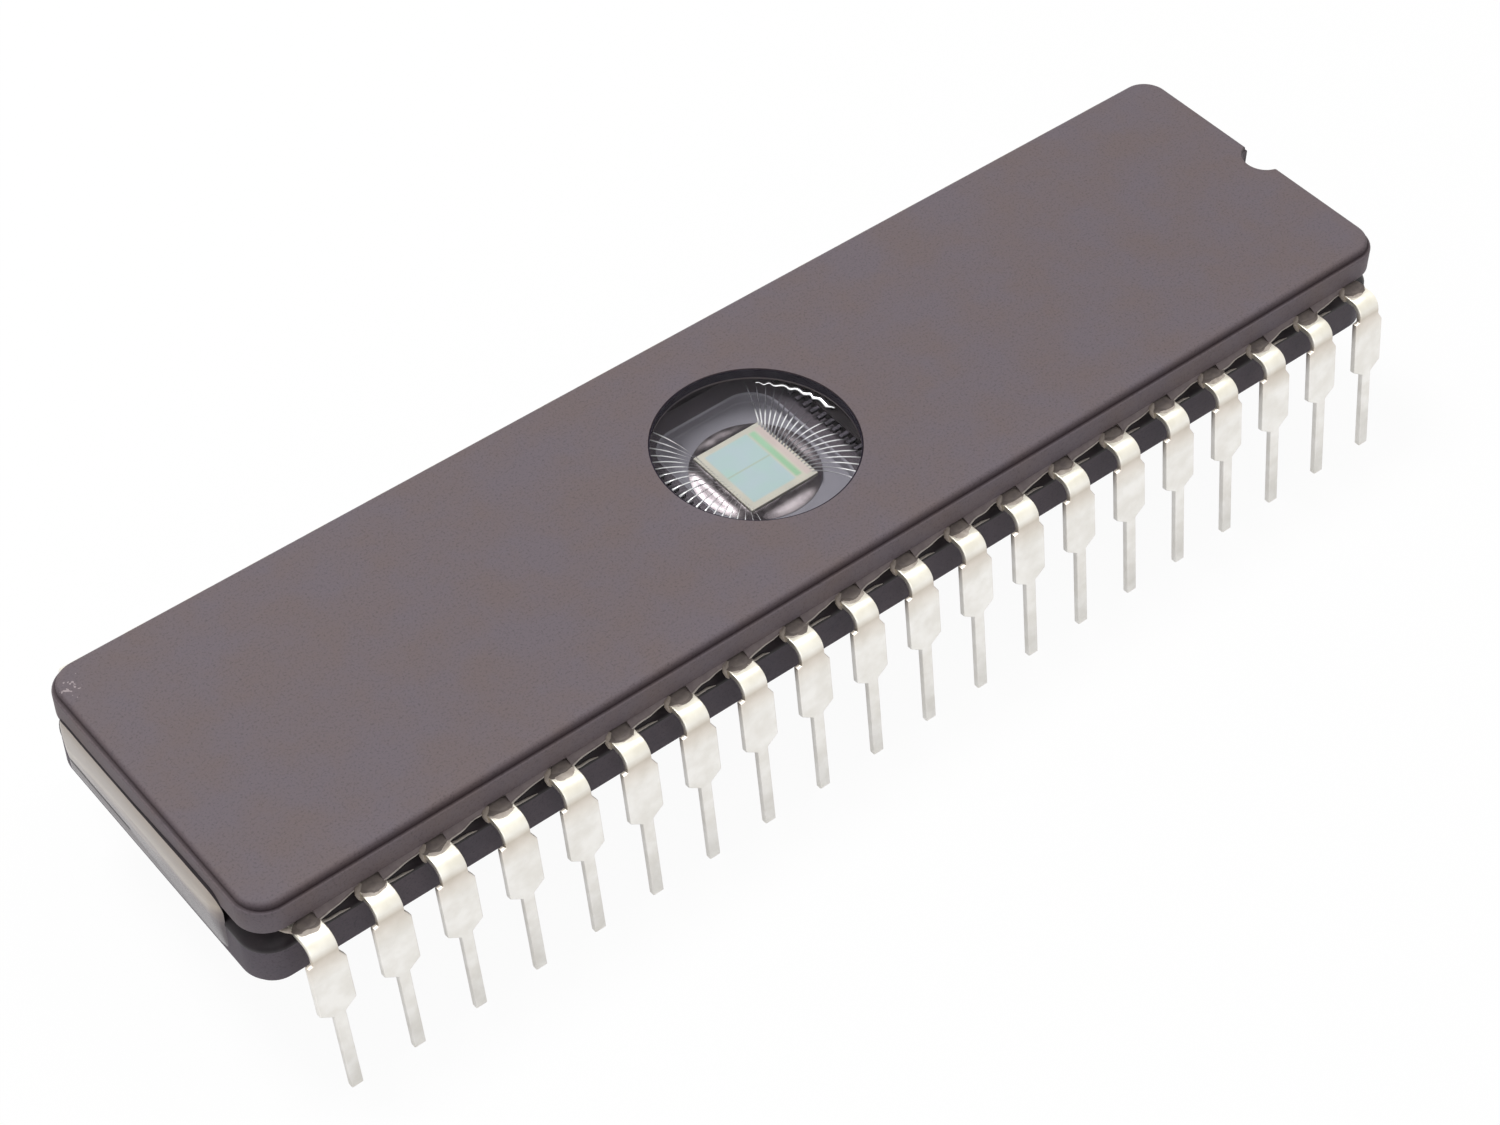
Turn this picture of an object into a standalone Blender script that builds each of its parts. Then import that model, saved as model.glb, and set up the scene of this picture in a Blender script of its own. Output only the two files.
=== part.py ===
"""A 40-lead ceramic dual in-line package with a clear round window over its die.

Two pressed ceramic slabs, the base and the cap, are sealed to each other with glass. The stamped
lead frame lies in that glass: each lead runs from a fine finger beside the die, through the seal
and round its bend to a pin. The window is a disc of glass set in the cap. Units are metres,
+Z is up, +X points to the end with the index notch, and the origin is the centre of the footprint
on the plane of the lead tips.
"""
import math

import bmesh
import bpy
from mathutils import Vector

MM = 0.001

# Lead frame
LEADS_PER_ROW = 20
PITCH = 2.54 * MM
LEAD_THICKNESS = 0.25 * MM
LEAD_REACH = 1.27 * MM          # from the body's side to the lead's outer face
LEAD_SPLAY = math.radians(8.0)  # how far each row leans outwards, before it is fitted in a board
BEND_RADIUS = 0.6 * MM          # outer face
BEND_STEPS = 4
NECK_WIDTH = 1.0 * MM
NECK_LENGTH = 0.18 * MM         # straight stretch between the bend and the wide part
SQUARE_SHOULDER_DROP = 0.05 * MM
SLOPED_SHOULDER_DROP = 0.36 * MM
WIDE_PART_WIDTH = 1.43 * MM
PIN_LENGTH = 3.5 * MM
PIN_CHAMFER = 0.33 * MM
PIN_WIDTH = 0.46 * MM
FINGER_WIDTH = 0.2 * MM
FINGER_END_LENGTH = 1.0 * MM
FINGER_PITCH = 0.42 * MM
KNEE_WIDTH = 0.5 * MM
KNEE_RUN = 0.55 * MM
NECK_EMBED = 0.2 * MM           # how far the neck reaches into the seal at full width

# Ceramic body
END_MARGIN = 1.77 * MM          # from the last lead's centre to the body's end
BODY_WIDTH = 13.2 * MM
CORNER_RADIUS = 1.2 * MM
CORNER_STEPS = 5
STANDOFF = 4.06 * MM
BASE_THICKNESS = 2.26 * MM
SEAL_THICKNESS = 0.62 * MM
CAP_THICKNESS = 1.33 * MM
LEDGE_WIDTH = 0.12 * MM
LEDGE_DROP = 0.3 * MM
EDGE_BREAK = 0.05 * MM
SHOULDER_WALL = 0.12 * MM       # upright foot of the shoulder, between the ledge and its round
PLATEAU_ROUND = 0.22 * MM
PLATEAU_STEPS = 3
BASE_TOP_CHAMFER = 0.35 * MM
NOTCH_RADIUS = 0.9 * MM
NOTCH_CENTRE_INSET = 0.03 * MM  # from the body's end to the notch's centre
ROUND_STEPS = 48

# Seal glass
SEAL_RECESS = 0.45 * MM
SEAL_HOLLOW = 0.15 * MM
LEAD_COVER = 0.13 * MM          # glass between the lead frame and the cap
OVERFLOW_BULGE = 0.22 * MM
OVERFLOW_DROP = 1.1 * MM        # how far the glass has run down the base's end
OVERFLOW_END_RUN = 0.9 * MM
OVERFLOW_STEPS = 4
OVERFLOW_NEAR = 4.7 * MM
OVERFLOW_FAR = 5.3 * MM

# Die, its attach and its cavity
DIE_WIDTH = 3.1 * MM
DIE_LENGTH = 3.4 * MM
DIE_THICKNESS = 0.5 * MM
ATTACH_THICKNESS = 0.04 * MM
ATTACH_MARGIN = 0.15 * MM
ATTACH_TAPER = 0.12 * MM
CAVITY_DEPTH = 0.7 * MM
CAVITY_SIDE_ROOM = 0.15 * MM
CAVITY_END_ROOM = 0.75 * MM
CAVITY_RADIUS = 1.2 * MM
BOND_SHELF = 0.5 * MM           # from the cavity's edge to the finger ends
SEAL_SHELF = 0.4 * MM           # from the finger ends to the seal's inner edge
CAP_RECESS_ROOM = 0.6 * MM      # from the seal's inner edge to the recess in the cap
CAP_RECESS_DEPTH = 0.35 * MM

# Window
WINDOW_RADIUS = 3.9 * MM
WINDOW_THICKNESS = 1.0 * MM
WINDOW_SINK = 0.03 * MM
WINDOW_BREAK = 0.08 * MM

# Bond wires
WIRE_WIDTH = 0.05 * MM
WIRE_RISE = 0.22 * MM
WIRE_STEPS = 6
BOND_INSET = 0.25 * MM          # from the finger's end to the wire's foot
PAD_INSET = 0.13 * MM
PAD_MARGIN = 0.18 * MM

# Gap between a piece and the one it is fused to or set in
FIT = 0.01 * MM

# Places worked out from the sizes above
QUADRANT_LEADS = LEADS_PER_ROW // 2
BODY_LENGTH = (LEADS_PER_ROW - 1) * PITCH + 2 * END_MARGIN
HALF_LENGTH = BODY_LENGTH / 2
HALF_WIDTH = BODY_WIDTH / 2
BASE_TOP = STANDOFF + BASE_THICKNESS
CAP_BOTTOM = BASE_TOP + SEAL_THICKNESS
CAP_TOP = CAP_BOTTOM + CAP_THICKNESS
LEAD_TOP = CAP_BOTTOM - LEAD_COVER
LEAD_BOTTOM = LEAD_TOP - LEAD_THICKNESS
ATTACH_RADIUS = math.hypot(DIE_WIDTH, DIE_LENGTH) / 2 + ATTACH_MARGIN
CAVITY_HALF_X = ATTACH_RADIUS + CAVITY_SIDE_ROOM
CAVITY_HALF_Y = ATTACH_RADIUS + CAVITY_END_ROOM
CAVITY_FLOOR = BASE_TOP - CAVITY_DEPTH
ATTACH_BOTTOM = CAVITY_FLOOR + FIT
DIE_BOTTOM = ATTACH_BOTTOM + ATTACH_THICKNESS + FIT
DIE_TOP = DIE_BOTTOM + DIE_THICKNESS
TIP_HALF_X = CAVITY_HALF_X + BOND_SHELF
TIP_HALF_Y = CAVITY_HALF_Y + BOND_SHELF
TIP_RADIUS = CAVITY_RADIUS
NECK_START_Y = HALF_WIDTH - SEAL_RECESS - SEAL_HOLLOW - NECK_EMBED
KNEE_Y = NECK_START_Y - KNEE_RUN
ROW_HALF = HALF_WIDTH + LEAD_REACH
PAD_PITCH = (DIE_LENGTH - 2 * PAD_MARGIN) / (LEADS_PER_ROW - 1)


def make_material(name, colour, roughness, metallic=0.0, transmission=0.0):
    """A plain surface with one colour."""
    material = bpy.data.materials.new(name)
    material.use_nodes = True
    shader = material.node_tree.nodes["Principled BSDF"]
    shader.inputs["Base Color"].default_value = (*colour, 1.0)
    shader.inputs["Roughness"].default_value = roughness
    shader.inputs["Metallic"].default_value = metallic
    shader.inputs["Transmission Weight"].default_value = transmission
    return material


def make_object(name, bm, material=None):
    """Turn a finished mesh into an object of its own."""
    bmesh.ops.recalc_face_normals(bm, faces=bm.faces)
    mesh = bpy.data.meshes.new(name)
    bm.to_mesh(mesh)
    bm.free()
    if material:
        mesh.materials.append(material)
    piece = bpy.data.objects.new(name, mesh)
    bpy.context.scene.collection.objects.link(piece)
    return piece


def loft(sections, closed=False):
    """Join a row of outlines, each with as many points, into one solid."""
    bm = bmesh.new()
    loops = [[bm.verts.new(point) for point in section] for section in sections]
    if closed:
        loops.append(loops[0])
    else:
        bm.faces.new(loops[0])
        bm.faces.new(loops[-1])
    for loop, next_loop in zip(loops, loops[1:]):
        for i, vert in enumerate(loop):
            bm.faces.new((loop[i - 1], vert, next_loop[i], next_loop[i - 1]))
    return bm


def combine(piece, tool, operation):
    """Cut the tool from the piece, or join it on, and drop the tool."""
    modifier = piece.modifiers.new(operation.lower(), "BOOLEAN")
    modifier.operation = operation
    modifier.solver = "EXACT"
    modifier.object = tool
    bpy.context.view_layer.update()
    evaluated = piece.evaluated_get(bpy.context.evaluated_depsgraph_get())
    old_mesh = piece.data
    name = old_mesh.name
    piece.data = bpy.data.meshes.new_from_object(evaluated)
    piece.modifiers.clear()
    bpy.data.meshes.remove(old_mesh)
    piece.data.name = name
    tool_mesh = tool.data
    bpy.data.objects.remove(tool)
    bpy.data.meshes.remove(tool_mesh)


def round_outline(half_x, half_y, radius, z):
    """A rectangle with round corners, as points at one height."""
    points = []
    for corner in range(4):
        turn = corner * math.pi / 2
        centre_x = (half_x - radius) * (1 if corner in (0, 3) else -1)
        centre_y = (half_y - radius) * (1 if corner in (0, 1) else -1)
        for step in range(CORNER_STEPS + 1):
            angle = turn + step / CORNER_STEPS * math.pi / 2
            x = centre_x + radius * math.cos(angle)
            y = centre_y + radius * math.sin(angle)
            points.append((x, y, z))
    return points


def body_outline(inset, z):
    """The body's outline, drawn in by an inset."""
    return round_outline(HALF_LENGTH - inset, HALF_WIDTH - inset, CORNER_RADIUS - inset / 2, z)


def circle(radius, z, centre_x=0.0):
    """A circle as points at one height."""
    points = []
    for step in range(ROUND_STEPS):
        angle = step / ROUND_STEPS * 2 * math.pi
        points.append((centre_x + radius * math.cos(angle), radius * math.sin(angle), z))
    return points


def pressed_face(joint_z, face_z):
    """Outlines from a slab's side over its ledge and round shoulder to its flat outer face."""
    up = 1 if face_z > joint_z else -1
    ledge_z = face_z - up * LEDGE_DROP
    wall_z = ledge_z + up * SHOULDER_WALL
    sections = [
        body_outline(0.0, ledge_z - up * EDGE_BREAK),
        body_outline(EDGE_BREAK, ledge_z),
        body_outline(LEDGE_WIDTH, ledge_z),
    ]
    for step in range(PLATEAU_STEPS + 1):
        angle = step / PLATEAU_STEPS * math.pi / 2
        inset = LEDGE_WIDTH + PLATEAU_ROUND * (1 - math.cos(angle))
        rise = (LEDGE_DROP - SHOULDER_WALL) * math.sin(angle)
        sections.append(body_outline(inset, wall_z + up * rise))
    return sections


def make_base(material):
    """The lower slab: pressed face down, chamfered top edge, and the die's cavity in its top."""
    sections = pressed_face(BASE_TOP, STANDOFF)[::-1]
    sections += [
        body_outline(0.0, BASE_TOP - BASE_TOP_CHAMFER),
        body_outline(BASE_TOP_CHAMFER, BASE_TOP),
        round_outline(CAVITY_HALF_X, CAVITY_HALF_Y, CAVITY_RADIUS, BASE_TOP),
        round_outline(CAVITY_HALF_X, CAVITY_HALF_Y, CAVITY_RADIUS, CAVITY_FLOOR),
    ]
    make_object("base", loft(sections), material)


def make_cap(material):
    """The upper slab: recess over the wires, window hole, and the index notch in its end."""
    recess_x = TIP_HALF_X + SEAL_SHELF + CAP_RECESS_ROOM
    recess_y = TIP_HALF_Y + SEAL_SHELF + CAP_RECESS_ROOM
    sections = [
        round_outline(recess_x, recess_y, CAVITY_RADIUS, CAP_BOTTOM + CAP_RECESS_DEPTH),
        round_outline(recess_x, recess_y, CAVITY_RADIUS, CAP_BOTTOM),
        body_outline(0.0, CAP_BOTTOM),
    ]
    sections += pressed_face(CAP_BOTTOM, CAP_TOP)
    cap = make_object("cap", loft(sections), material)
    for name, radius, centre in (
        ("window_hole", WINDOW_RADIUS, 0.0),
        ("index_notch", NOTCH_RADIUS, HALF_LENGTH - NOTCH_CENTRE_INSET),
    ):
        ends = (CAP_BOTTOM - CAP_THICKNESS, CAP_TOP + CAP_THICKNESS)
        cutter = make_object(name, loft([circle(radius, z, centre) for z in ends]))
        combine(cap, cutter, "DIFFERENCE")


def make_window(material):
    """The glass disc, its edges broken, a hair below the cap's face."""
    radius = WINDOW_RADIUS - FIT
    top = CAP_TOP - WINDOW_SINK
    bottom = top - WINDOW_THICKNESS
    sections = [
        circle(radius - WINDOW_BREAK, bottom),
        circle(radius, bottom + WINDOW_BREAK),
        circle(radius, top - WINDOW_BREAK),
        circle(radius - WINDOW_BREAK, top),
    ]
    make_object("window", loft(sections), material)


def make_die(material):
    """The silicon die."""
    half_x = DIE_WIDTH / 2
    half_y = DIE_LENGTH / 2
    corners = ((-half_x, -half_y), (half_x, -half_y), (half_x, half_y), (-half_x, half_y))
    sections = [[(x, y, z) for x, y in corners] for z in (DIE_BOTTOM, DIE_TOP)]
    make_object("die", loft(sections), material)


def make_die_attach(material):
    """The round pool of metal-filled glass that holds the die to the cavity's floor."""
    top = ATTACH_BOTTOM + ATTACH_THICKNESS
    sections = [circle(ATTACH_RADIUS, ATTACH_BOTTOM), circle(ATTACH_RADIUS - ATTACH_TAPER, top)]
    make_object("die_attach", loft(sections), material)


def finger_end(index):
    """Plan point and outward direction of a finger's end, counted from the long axis."""
    distance = (index + 0.5) * FINGER_PITCH
    straight = TIP_HALF_Y - TIP_RADIUS
    if distance < straight:
        return Vector((TIP_HALF_X, distance)), Vector((1.0, 0.0))
    angle = (distance - straight) / TIP_RADIUS
    outward = Vector((math.cos(angle), math.sin(angle)))
    centre = Vector((TIP_HALF_X - TIP_RADIUS, straight))
    return centre + outward * TIP_RADIUS, outward


def finger_sections(index, spare):
    """A finger's sections from its end beside the die out to the seal's edge, in one quadrant."""
    end, outward = finger_end(index)
    lead_x = (QUADRANT_LEADS - 0.5 - index) * PITCH
    stops = [
        (end - outward * spare, FINGER_WIDTH),
        (end + outward * FINGER_END_LENGTH, FINGER_WIDTH),
        (Vector((lead_x, KNEE_Y)), KNEE_WIDTH),
        (Vector((lead_x, NECK_START_Y)), NECK_WIDTH),
    ]
    sections = []
    for place, (point, width) in enumerate(stops):
        before = (point - stops[place - 1][0]).normalized() if place else outward
        after = Vector((0.0, 1.0))
        if place < len(stops) - 1:
            after = (stops[place + 1][0] - point).normalized()
        along = (before + after).normalized()
        reach = (width / 2 + spare) / max(along.dot(after), 0.5)
        across = Vector((along.y, -along.x)) * reach
        sections.append(flat_section(point - across, point + across, spare))
    return sections


def flat_section(left, right, spare):
    """A lead's section where it lies flat in the seal."""
    top = LEAD_TOP + spare
    bottom = LEAD_BOTTOM - spare
    return [(*left, top), (*right, top), (*right, bottom), (*left, bottom)]


def bend_section(lead_x, angle):
    """A lead's section in the bend, the angle counted from straight up."""
    left = lead_x - NECK_WIDTH / 2
    right = lead_x + NECK_WIDTH / 2
    outer = bend_point(BEND_RADIUS, angle)
    inner = bend_point(BEND_RADIUS - LEAD_THICKNESS, angle)
    return [(left, *outer), (right, *outer), (right, *inner), (left, *inner)]


def side_section(lead_x, width, left_z, right_z):
    """A lead's section below the bend, where its two edges may stand at different heights."""
    bend_y, bend_z = bend_point(BEND_RADIUS, math.pi / 2 - LEAD_SPLAY)
    corners = []
    for side, z in ((-1, left_z), (1, right_z)):
        outer_y = bend_y + (bend_z - z) * math.tan(LEAD_SPLAY)
        inner_y = outer_y - LEAD_THICKNESS / math.cos(LEAD_SPLAY)
        corners.append([(lead_x + side * width / 2, y, z) for y in (outer_y, inner_y)])
    left, right = corners
    return [left[0], right[0], right[1], left[1]]


def bend_point(radius, angle):
    """A point of the bend in (y, z), the angle counted from straight up."""
    centre_y = ROW_HALF - BEND_RADIUS * math.cos(LEAD_SPLAY)
    centre_z = LEAD_TOP - BEND_RADIUS
    return centre_y + radius * math.sin(angle), centre_z + radius * math.cos(angle)


def outer_sections(index, square_side):
    """A lead's sections from the body's side round the bend and down to its tip.

    The shoulder above the wide part is square on one edge and sloped on the other.
    """
    lead_x = (QUADRANT_LEADS - 0.5 - index) * PITCH
    turn = math.pi / 2 - LEAD_SPLAY
    sections = [bend_section(lead_x, step / BEND_STEPS * turn) for step in range(BEND_STEPS + 1)]
    neck_end = bend_point(BEND_RADIUS - LEAD_THICKNESS, turn)[1] - NECK_LENGTH
    left_drop, right_drop = SLOPED_SHOULDER_DROP, SQUARE_SHOULDER_DROP
    if square_side < 0:
        left_drop, right_drop = right_drop, left_drop
    wide_end = PIN_LENGTH + PIN_CHAMFER
    sections += [
        side_section(lead_x, NECK_WIDTH, neck_end, neck_end),
        side_section(lead_x, WIDE_PART_WIDTH, neck_end - left_drop, neck_end - right_drop),
        side_section(lead_x, WIDE_PART_WIDTH, wide_end, wide_end),
        side_section(lead_x, PIN_WIDTH, PIN_LENGTH, PIN_LENGTH),
        side_section(lead_x, PIN_WIDTH, 0.0, 0.0),
    ]
    return sections


def wire_sections(index):
    """A bond wire's sections from its foot on the finger to its pad on the die."""
    end, outward = finger_end(index)
    foot = end + outward * BOND_INSET
    pad = Vector((DIE_WIDTH / 2 - PAD_INSET, (index + 0.5) * PAD_PITCH))
    along = (pad - foot).normalized()
    across = Vector((along.y, -along.x)) * WIRE_WIDTH / 2
    half = WIRE_WIDTH / 2
    pad_z = DIE_TOP + FIT + half
    sections = []
    for step in range(WIRE_STEPS + 1):
        share = step / WIRE_STEPS
        point = foot.lerp(pad, share)
        z = LEAD_TOP + (pad_z - LEAD_TOP) * share + WIRE_RISE * 4 * share * (1 - share)
        left = point - across
        right = point + across
        sections.append([(*left, z + half), (*right, z + half), (*right, z - half), (*left, z - half)])
    return sections


def mirrored(sections, side_x, side_y):
    """The same sections in another quadrant."""
    return [[(x * side_x, y * side_y, z) for x, y, z in section] for section in sections]


def lead_places():
    """Number, quadrant signs and index from the body's end, for each lead from pin 1 round."""
    places = []
    for number in range(1, 2 * LEADS_PER_ROW + 1):
        place = (number - 1) % LEADS_PER_ROW
        side_y = 1 if number <= LEADS_PER_ROW else -1
        side_x = side_y if place < QUADRANT_LEADS else -side_y
        index = min(place, LEADS_PER_ROW - 1 - place)
        places.append((number, side_x, side_y, index))
    return places


def make_lead(number, side_x, side_y, index, material):
    """One lead, from its finger to its pin, with its bond wire welded on."""
    sections = finger_sections(index, 0.0) + outer_sections(index, side_x * side_y)
    name = f"lead_{number:02d}"
    lead = make_object(name, loft(mirrored(sections, side_x, side_y)), material)
    wire = make_object("wire", loft(mirrored(wire_sections(index), side_x, side_y)))
    combine(lead, wire, "UNION")


def make_channel(side_x, side_y, index):
    """The space that one lead takes up in the seal glass."""
    sections = finger_sections(index, FIT)
    lead_x = (QUADRANT_LEADS - 0.5 - index) * PITCH
    half = NECK_WIDTH / 2 + FIT
    left = Vector((lead_x - half, HALF_WIDTH))
    right = Vector((lead_x + half, HALF_WIDTH))
    sections.append(flat_section(left, right, FIT))
    return make_object("channel", loft(mirrored(sections, side_x, side_y)))


def overflow_profile(bulge):
    """The overflow's section at a body end, as (distance past the end, z) points."""
    seat = -SEAL_RECESS - SEAL_HOLLOW * 2
    low = BASE_TOP - BASE_TOP_CHAMFER
    top = CAP_BOTTOM - FIT * 3
    return [
        (seat, top),
        (bulge / 2, top),
        (bulge, CAP_BOTTOM - SEAL_THICKNESS / 2),
        (bulge, low),
        (bulge * 0.7, low - OVERFLOW_DROP / 2),
        (FIT * 3, low - OVERFLOW_DROP),
        (FIT, low - OVERFLOW_DROP),
        (FIT, low + FIT),
        (FIT - BASE_TOP_CHAMFER, BASE_TOP + FIT * 3),
        (seat, BASE_TOP + FIT * 3),
    ]


def make_overflow(side_x):
    """The tongue of glass that has run out over one end of the base."""
    span = OVERFLOW_NEAR + OVERFLOW_FAR
    sections = []
    for end in (0, 1):
        for step in range(OVERFLOW_STEPS):
            share = step / (OVERFLOW_STEPS - 1)
            run = share if end == 0 else 1 - share
            bulge = OVERFLOW_BULGE * (0.25 + 0.75 * math.sin(run * math.pi / 2))
            y = -OVERFLOW_NEAR + OVERFLOW_END_RUN * share
            if end:
                y += span - OVERFLOW_END_RUN
            section = [(side_x * (HALF_LENGTH + out), y, z) for out, z in overflow_profile(bulge)]
            sections.append(section)
    return make_object("overflow", loft(sections))


def make_seal_glass(material):
    """The ring of glass between the slabs, with a channel for each lead and its end overflows."""
    bottom = BASE_TOP + FIT
    top = CAP_BOTTOM - FIT
    inner_x = TIP_HALF_X + SEAL_SHELF
    inner_y = TIP_HALF_Y + SEAL_SHELF
    sections = [
        body_outline(SEAL_RECESS, bottom),
        body_outline(SEAL_RECESS + SEAL_HOLLOW, (bottom + top) / 2),
        body_outline(SEAL_RECESS, top),
        round_outline(inner_x, inner_y, TIP_RADIUS, top),
        round_outline(inner_x, inner_y, TIP_RADIUS, bottom),
    ]
    seal = make_object("seal_glass", loft(sections, closed=True), material)
    for side_x in (-1, 1):
        combine(seal, make_overflow(side_x), "UNION")
    for _, side_x, side_y, index in lead_places():
        combine(seal, make_channel(side_x, side_y, index), "DIFFERENCE")


def main():
    for old in list(bpy.data.objects):
        bpy.data.objects.remove(old)
    ceramic = make_material("pressed_alumina", (0.20, 0.165, 0.175), 0.62)
    make_base(ceramic)
    make_cap(ceramic)
    make_window(make_material("window_glass", (0.92, 0.94, 0.95), 0.05, transmission=1.0))
    make_seal_glass(make_material("seal_glass", (0.07, 0.065, 0.075), 0.25))
    make_die_attach(make_material("silver_glass", (0.72, 0.70, 0.70), 0.35, metallic=0.7))
    make_die(make_material("silicon", (0.42, 0.58, 0.52), 0.2))
    tin = make_material("tin_plate", (0.80, 0.78, 0.75), 0.35, metallic=0.85)
    for number, side_x, side_y, index in lead_places():
        make_lead(number, side_x, side_y, index, tin)


main()
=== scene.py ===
import math

import bmesh
import bpy
from mathutils import Matrix, Vector, noise


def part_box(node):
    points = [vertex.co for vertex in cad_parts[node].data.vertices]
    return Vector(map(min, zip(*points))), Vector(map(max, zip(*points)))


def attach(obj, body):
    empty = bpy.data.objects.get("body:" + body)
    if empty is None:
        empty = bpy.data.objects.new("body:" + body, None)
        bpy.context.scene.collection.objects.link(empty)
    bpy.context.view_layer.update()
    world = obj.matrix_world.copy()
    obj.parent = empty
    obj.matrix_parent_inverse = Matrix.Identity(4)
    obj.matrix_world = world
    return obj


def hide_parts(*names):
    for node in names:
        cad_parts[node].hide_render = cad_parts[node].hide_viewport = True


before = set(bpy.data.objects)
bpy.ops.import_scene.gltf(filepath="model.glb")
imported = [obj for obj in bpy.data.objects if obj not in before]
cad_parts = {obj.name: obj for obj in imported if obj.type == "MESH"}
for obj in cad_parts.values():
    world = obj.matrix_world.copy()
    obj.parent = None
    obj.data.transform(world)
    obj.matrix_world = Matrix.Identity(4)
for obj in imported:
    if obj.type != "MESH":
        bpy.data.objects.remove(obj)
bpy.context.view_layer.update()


# Camera
# A 76 mm lens on a 36 mm wide sensor, up and to the left of the near row of leads, as in the
# photograph. The chip is small, so the near clipping distance is a few millimetres.
MM = 0.001
camera_data = bpy.data.cameras.new("camera")
camera_data.sensor_width = 36.0
camera_data.lens = 76.466
camera_data.clip_start = 5 * MM
camera = bpy.data.objects.new("camera", camera_data)
camera.location = Vector((-51.89, -62.886, 89.616)) * MM
camera.rotation_euler = [math.radians(angle) for angle in (42.91, -0.316, -39.064)]
bpy.context.scene.collection.objects.link(camera)
bpy.context.scene.camera = camera
bpy.context.scene.view_settings.view_transform = "Standard"


# World and lamps
# A white studio: one soft box hangs high behind the chip and one over its right end, and a weak one
# fills from the front. The world gives the rest, and the camera, metal and glass see it as white.
def colour(code):
    """An sRGB hex code as linear red, green, blue and alpha."""
    shares = [int(code[place:place + 2], 16) / 255 for place in (1, 3, 5)]
    linear = [share / 12.92 if share <= 0.04045 else ((share + 0.055) / 1.055) ** 2.4 for share in shares]
    return (*linear, 1.0)


def add_node(tree, kind, inputs=None, stops=(), **settings):
    """Add a node with its settings, its inputs as values or links, and a ramp's colour stops."""
    node = tree.nodes.new(kind)
    for name, value in settings.items():
        setattr(node, name, value)
    for name, value in (inputs or {}).items():
        if isinstance(value, bpy.types.NodeSocket):
            tree.links.new(value, node.inputs[name])
        else:
            node.inputs[name].default_value = value
    for place, (position, code) in enumerate(stops):
        elements = node.color_ramp.elements
        element = elements[place] if place < len(elements) else elements.new(position)
        element.position = position
        element.color = colour(code)
    return node


WORLD_LIGHT = 0.42
world = bpy.data.worlds.new("studio")
world.use_nodes = True
bpy.context.scene.world = world
tree = world.node_tree
tree.nodes.clear()
light_path = add_node(tree, "ShaderNodeLightPath")
seen = add_node(tree, "ShaderNodeMath", {
    0: light_path.outputs["Is Camera Ray"],
    1: light_path.outputs["Is Glossy Ray"],
}, operation="MAXIMUM")
seen = add_node(tree, "ShaderNodeMath", {
    0: seen.outputs[0],
    1: light_path.outputs["Is Transmission Ray"],
}, operation="MAXIMUM")
dim = add_node(tree, "ShaderNodeBackground", {"Color": colour("#ffffff"), "Strength": WORLD_LIGHT})
white = add_node(tree, "ShaderNodeBackground", {"Color": colour("#ffffff"), "Strength": 1.0})
sky = add_node(tree, "ShaderNodeMixShader", {
    0: seen.outputs[0],
    1: dim.outputs[0],
    2: white.outputs[0],
})
add_node(tree, "ShaderNodeOutputWorld", {"Surface": sky.outputs[0]})


def hang_lamp(name, place, size, power):
    """A square soft box at a place in millimetres, aimed at the chip's middle."""
    data = bpy.data.lights.new(name, "AREA")
    data.shape = "SQUARE"
    data.size = size * MM
    data.energy = power
    lamp = bpy.data.objects.new(name, data)
    lamp.location = Vector(place) * MM
    lamp.rotation_euler = (-lamp.location).to_track_quat("-Z", "Y").to_euler()
    bpy.context.scene.collection.objects.link(lamp)


hang_lamp("key", (-40.0, 110.0, 260.0), 90.0, 0.49)
hang_lamp("over", (130.0, 10.0, 250.0), 84.0, 0.065)
hang_lamp("fill", (-120.0, -210.0, 120.0), 160.0, 0.08)


# Floor
# A white table under the lead tips. The camera sees it as the white of the backdrop, with a faint
# shadow under the chip. Metal sees it halfway to that, and everything else sees plain white card.
FLOOR_REACH = 1500 * MM
SHADOW_SHARE = 0.05
MIRRORED_SHARE = 0.5
bm = bmesh.new()
bmesh.ops.create_grid(bm, x_segments=1, y_segments=1, size=FLOOR_REACH)
floor_mesh = bpy.data.meshes.new("floor")
bm.to_mesh(floor_mesh)
bm.free()
card = bpy.data.materials.new("white_card")
card.use_nodes = True
tree = card.node_tree
tree.nodes.clear()
plain = add_node(tree, "ShaderNodeBsdfDiffuse", {"Color": colour("#f4f4f4")})
glow = add_node(tree, "ShaderNodeEmission", {"Color": colour("#ffffff"), "Strength": 1.0})
bright = add_node(tree, "ShaderNodeMixShader", {0: SHADOW_SHARE, 1: glow.outputs[0], 2: plain.outputs[0]})
path = add_node(tree, "ShaderNodeLightPath")
mirrored = add_node(tree, "ShaderNodeMath", {
    0: path.outputs["Is Glossy Ray"],
    1: MIRRORED_SHARE,
    2: path.outputs["Is Camera Ray"],
}, operation="MULTIPLY_ADD")
surface = add_node(tree, "ShaderNodeMixShader", {
    0: mirrored.outputs[0],
    1: plain.outputs[0],
    2: bright.outputs[0],
})
add_node(tree, "ShaderNodeOutputMaterial", {"Surface": surface.outputs[0]})
floor_mesh.materials.append(card)
floor = bpy.data.objects.new("floor", floor_mesh)
bpy.context.scene.collection.objects.link(floor)


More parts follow.
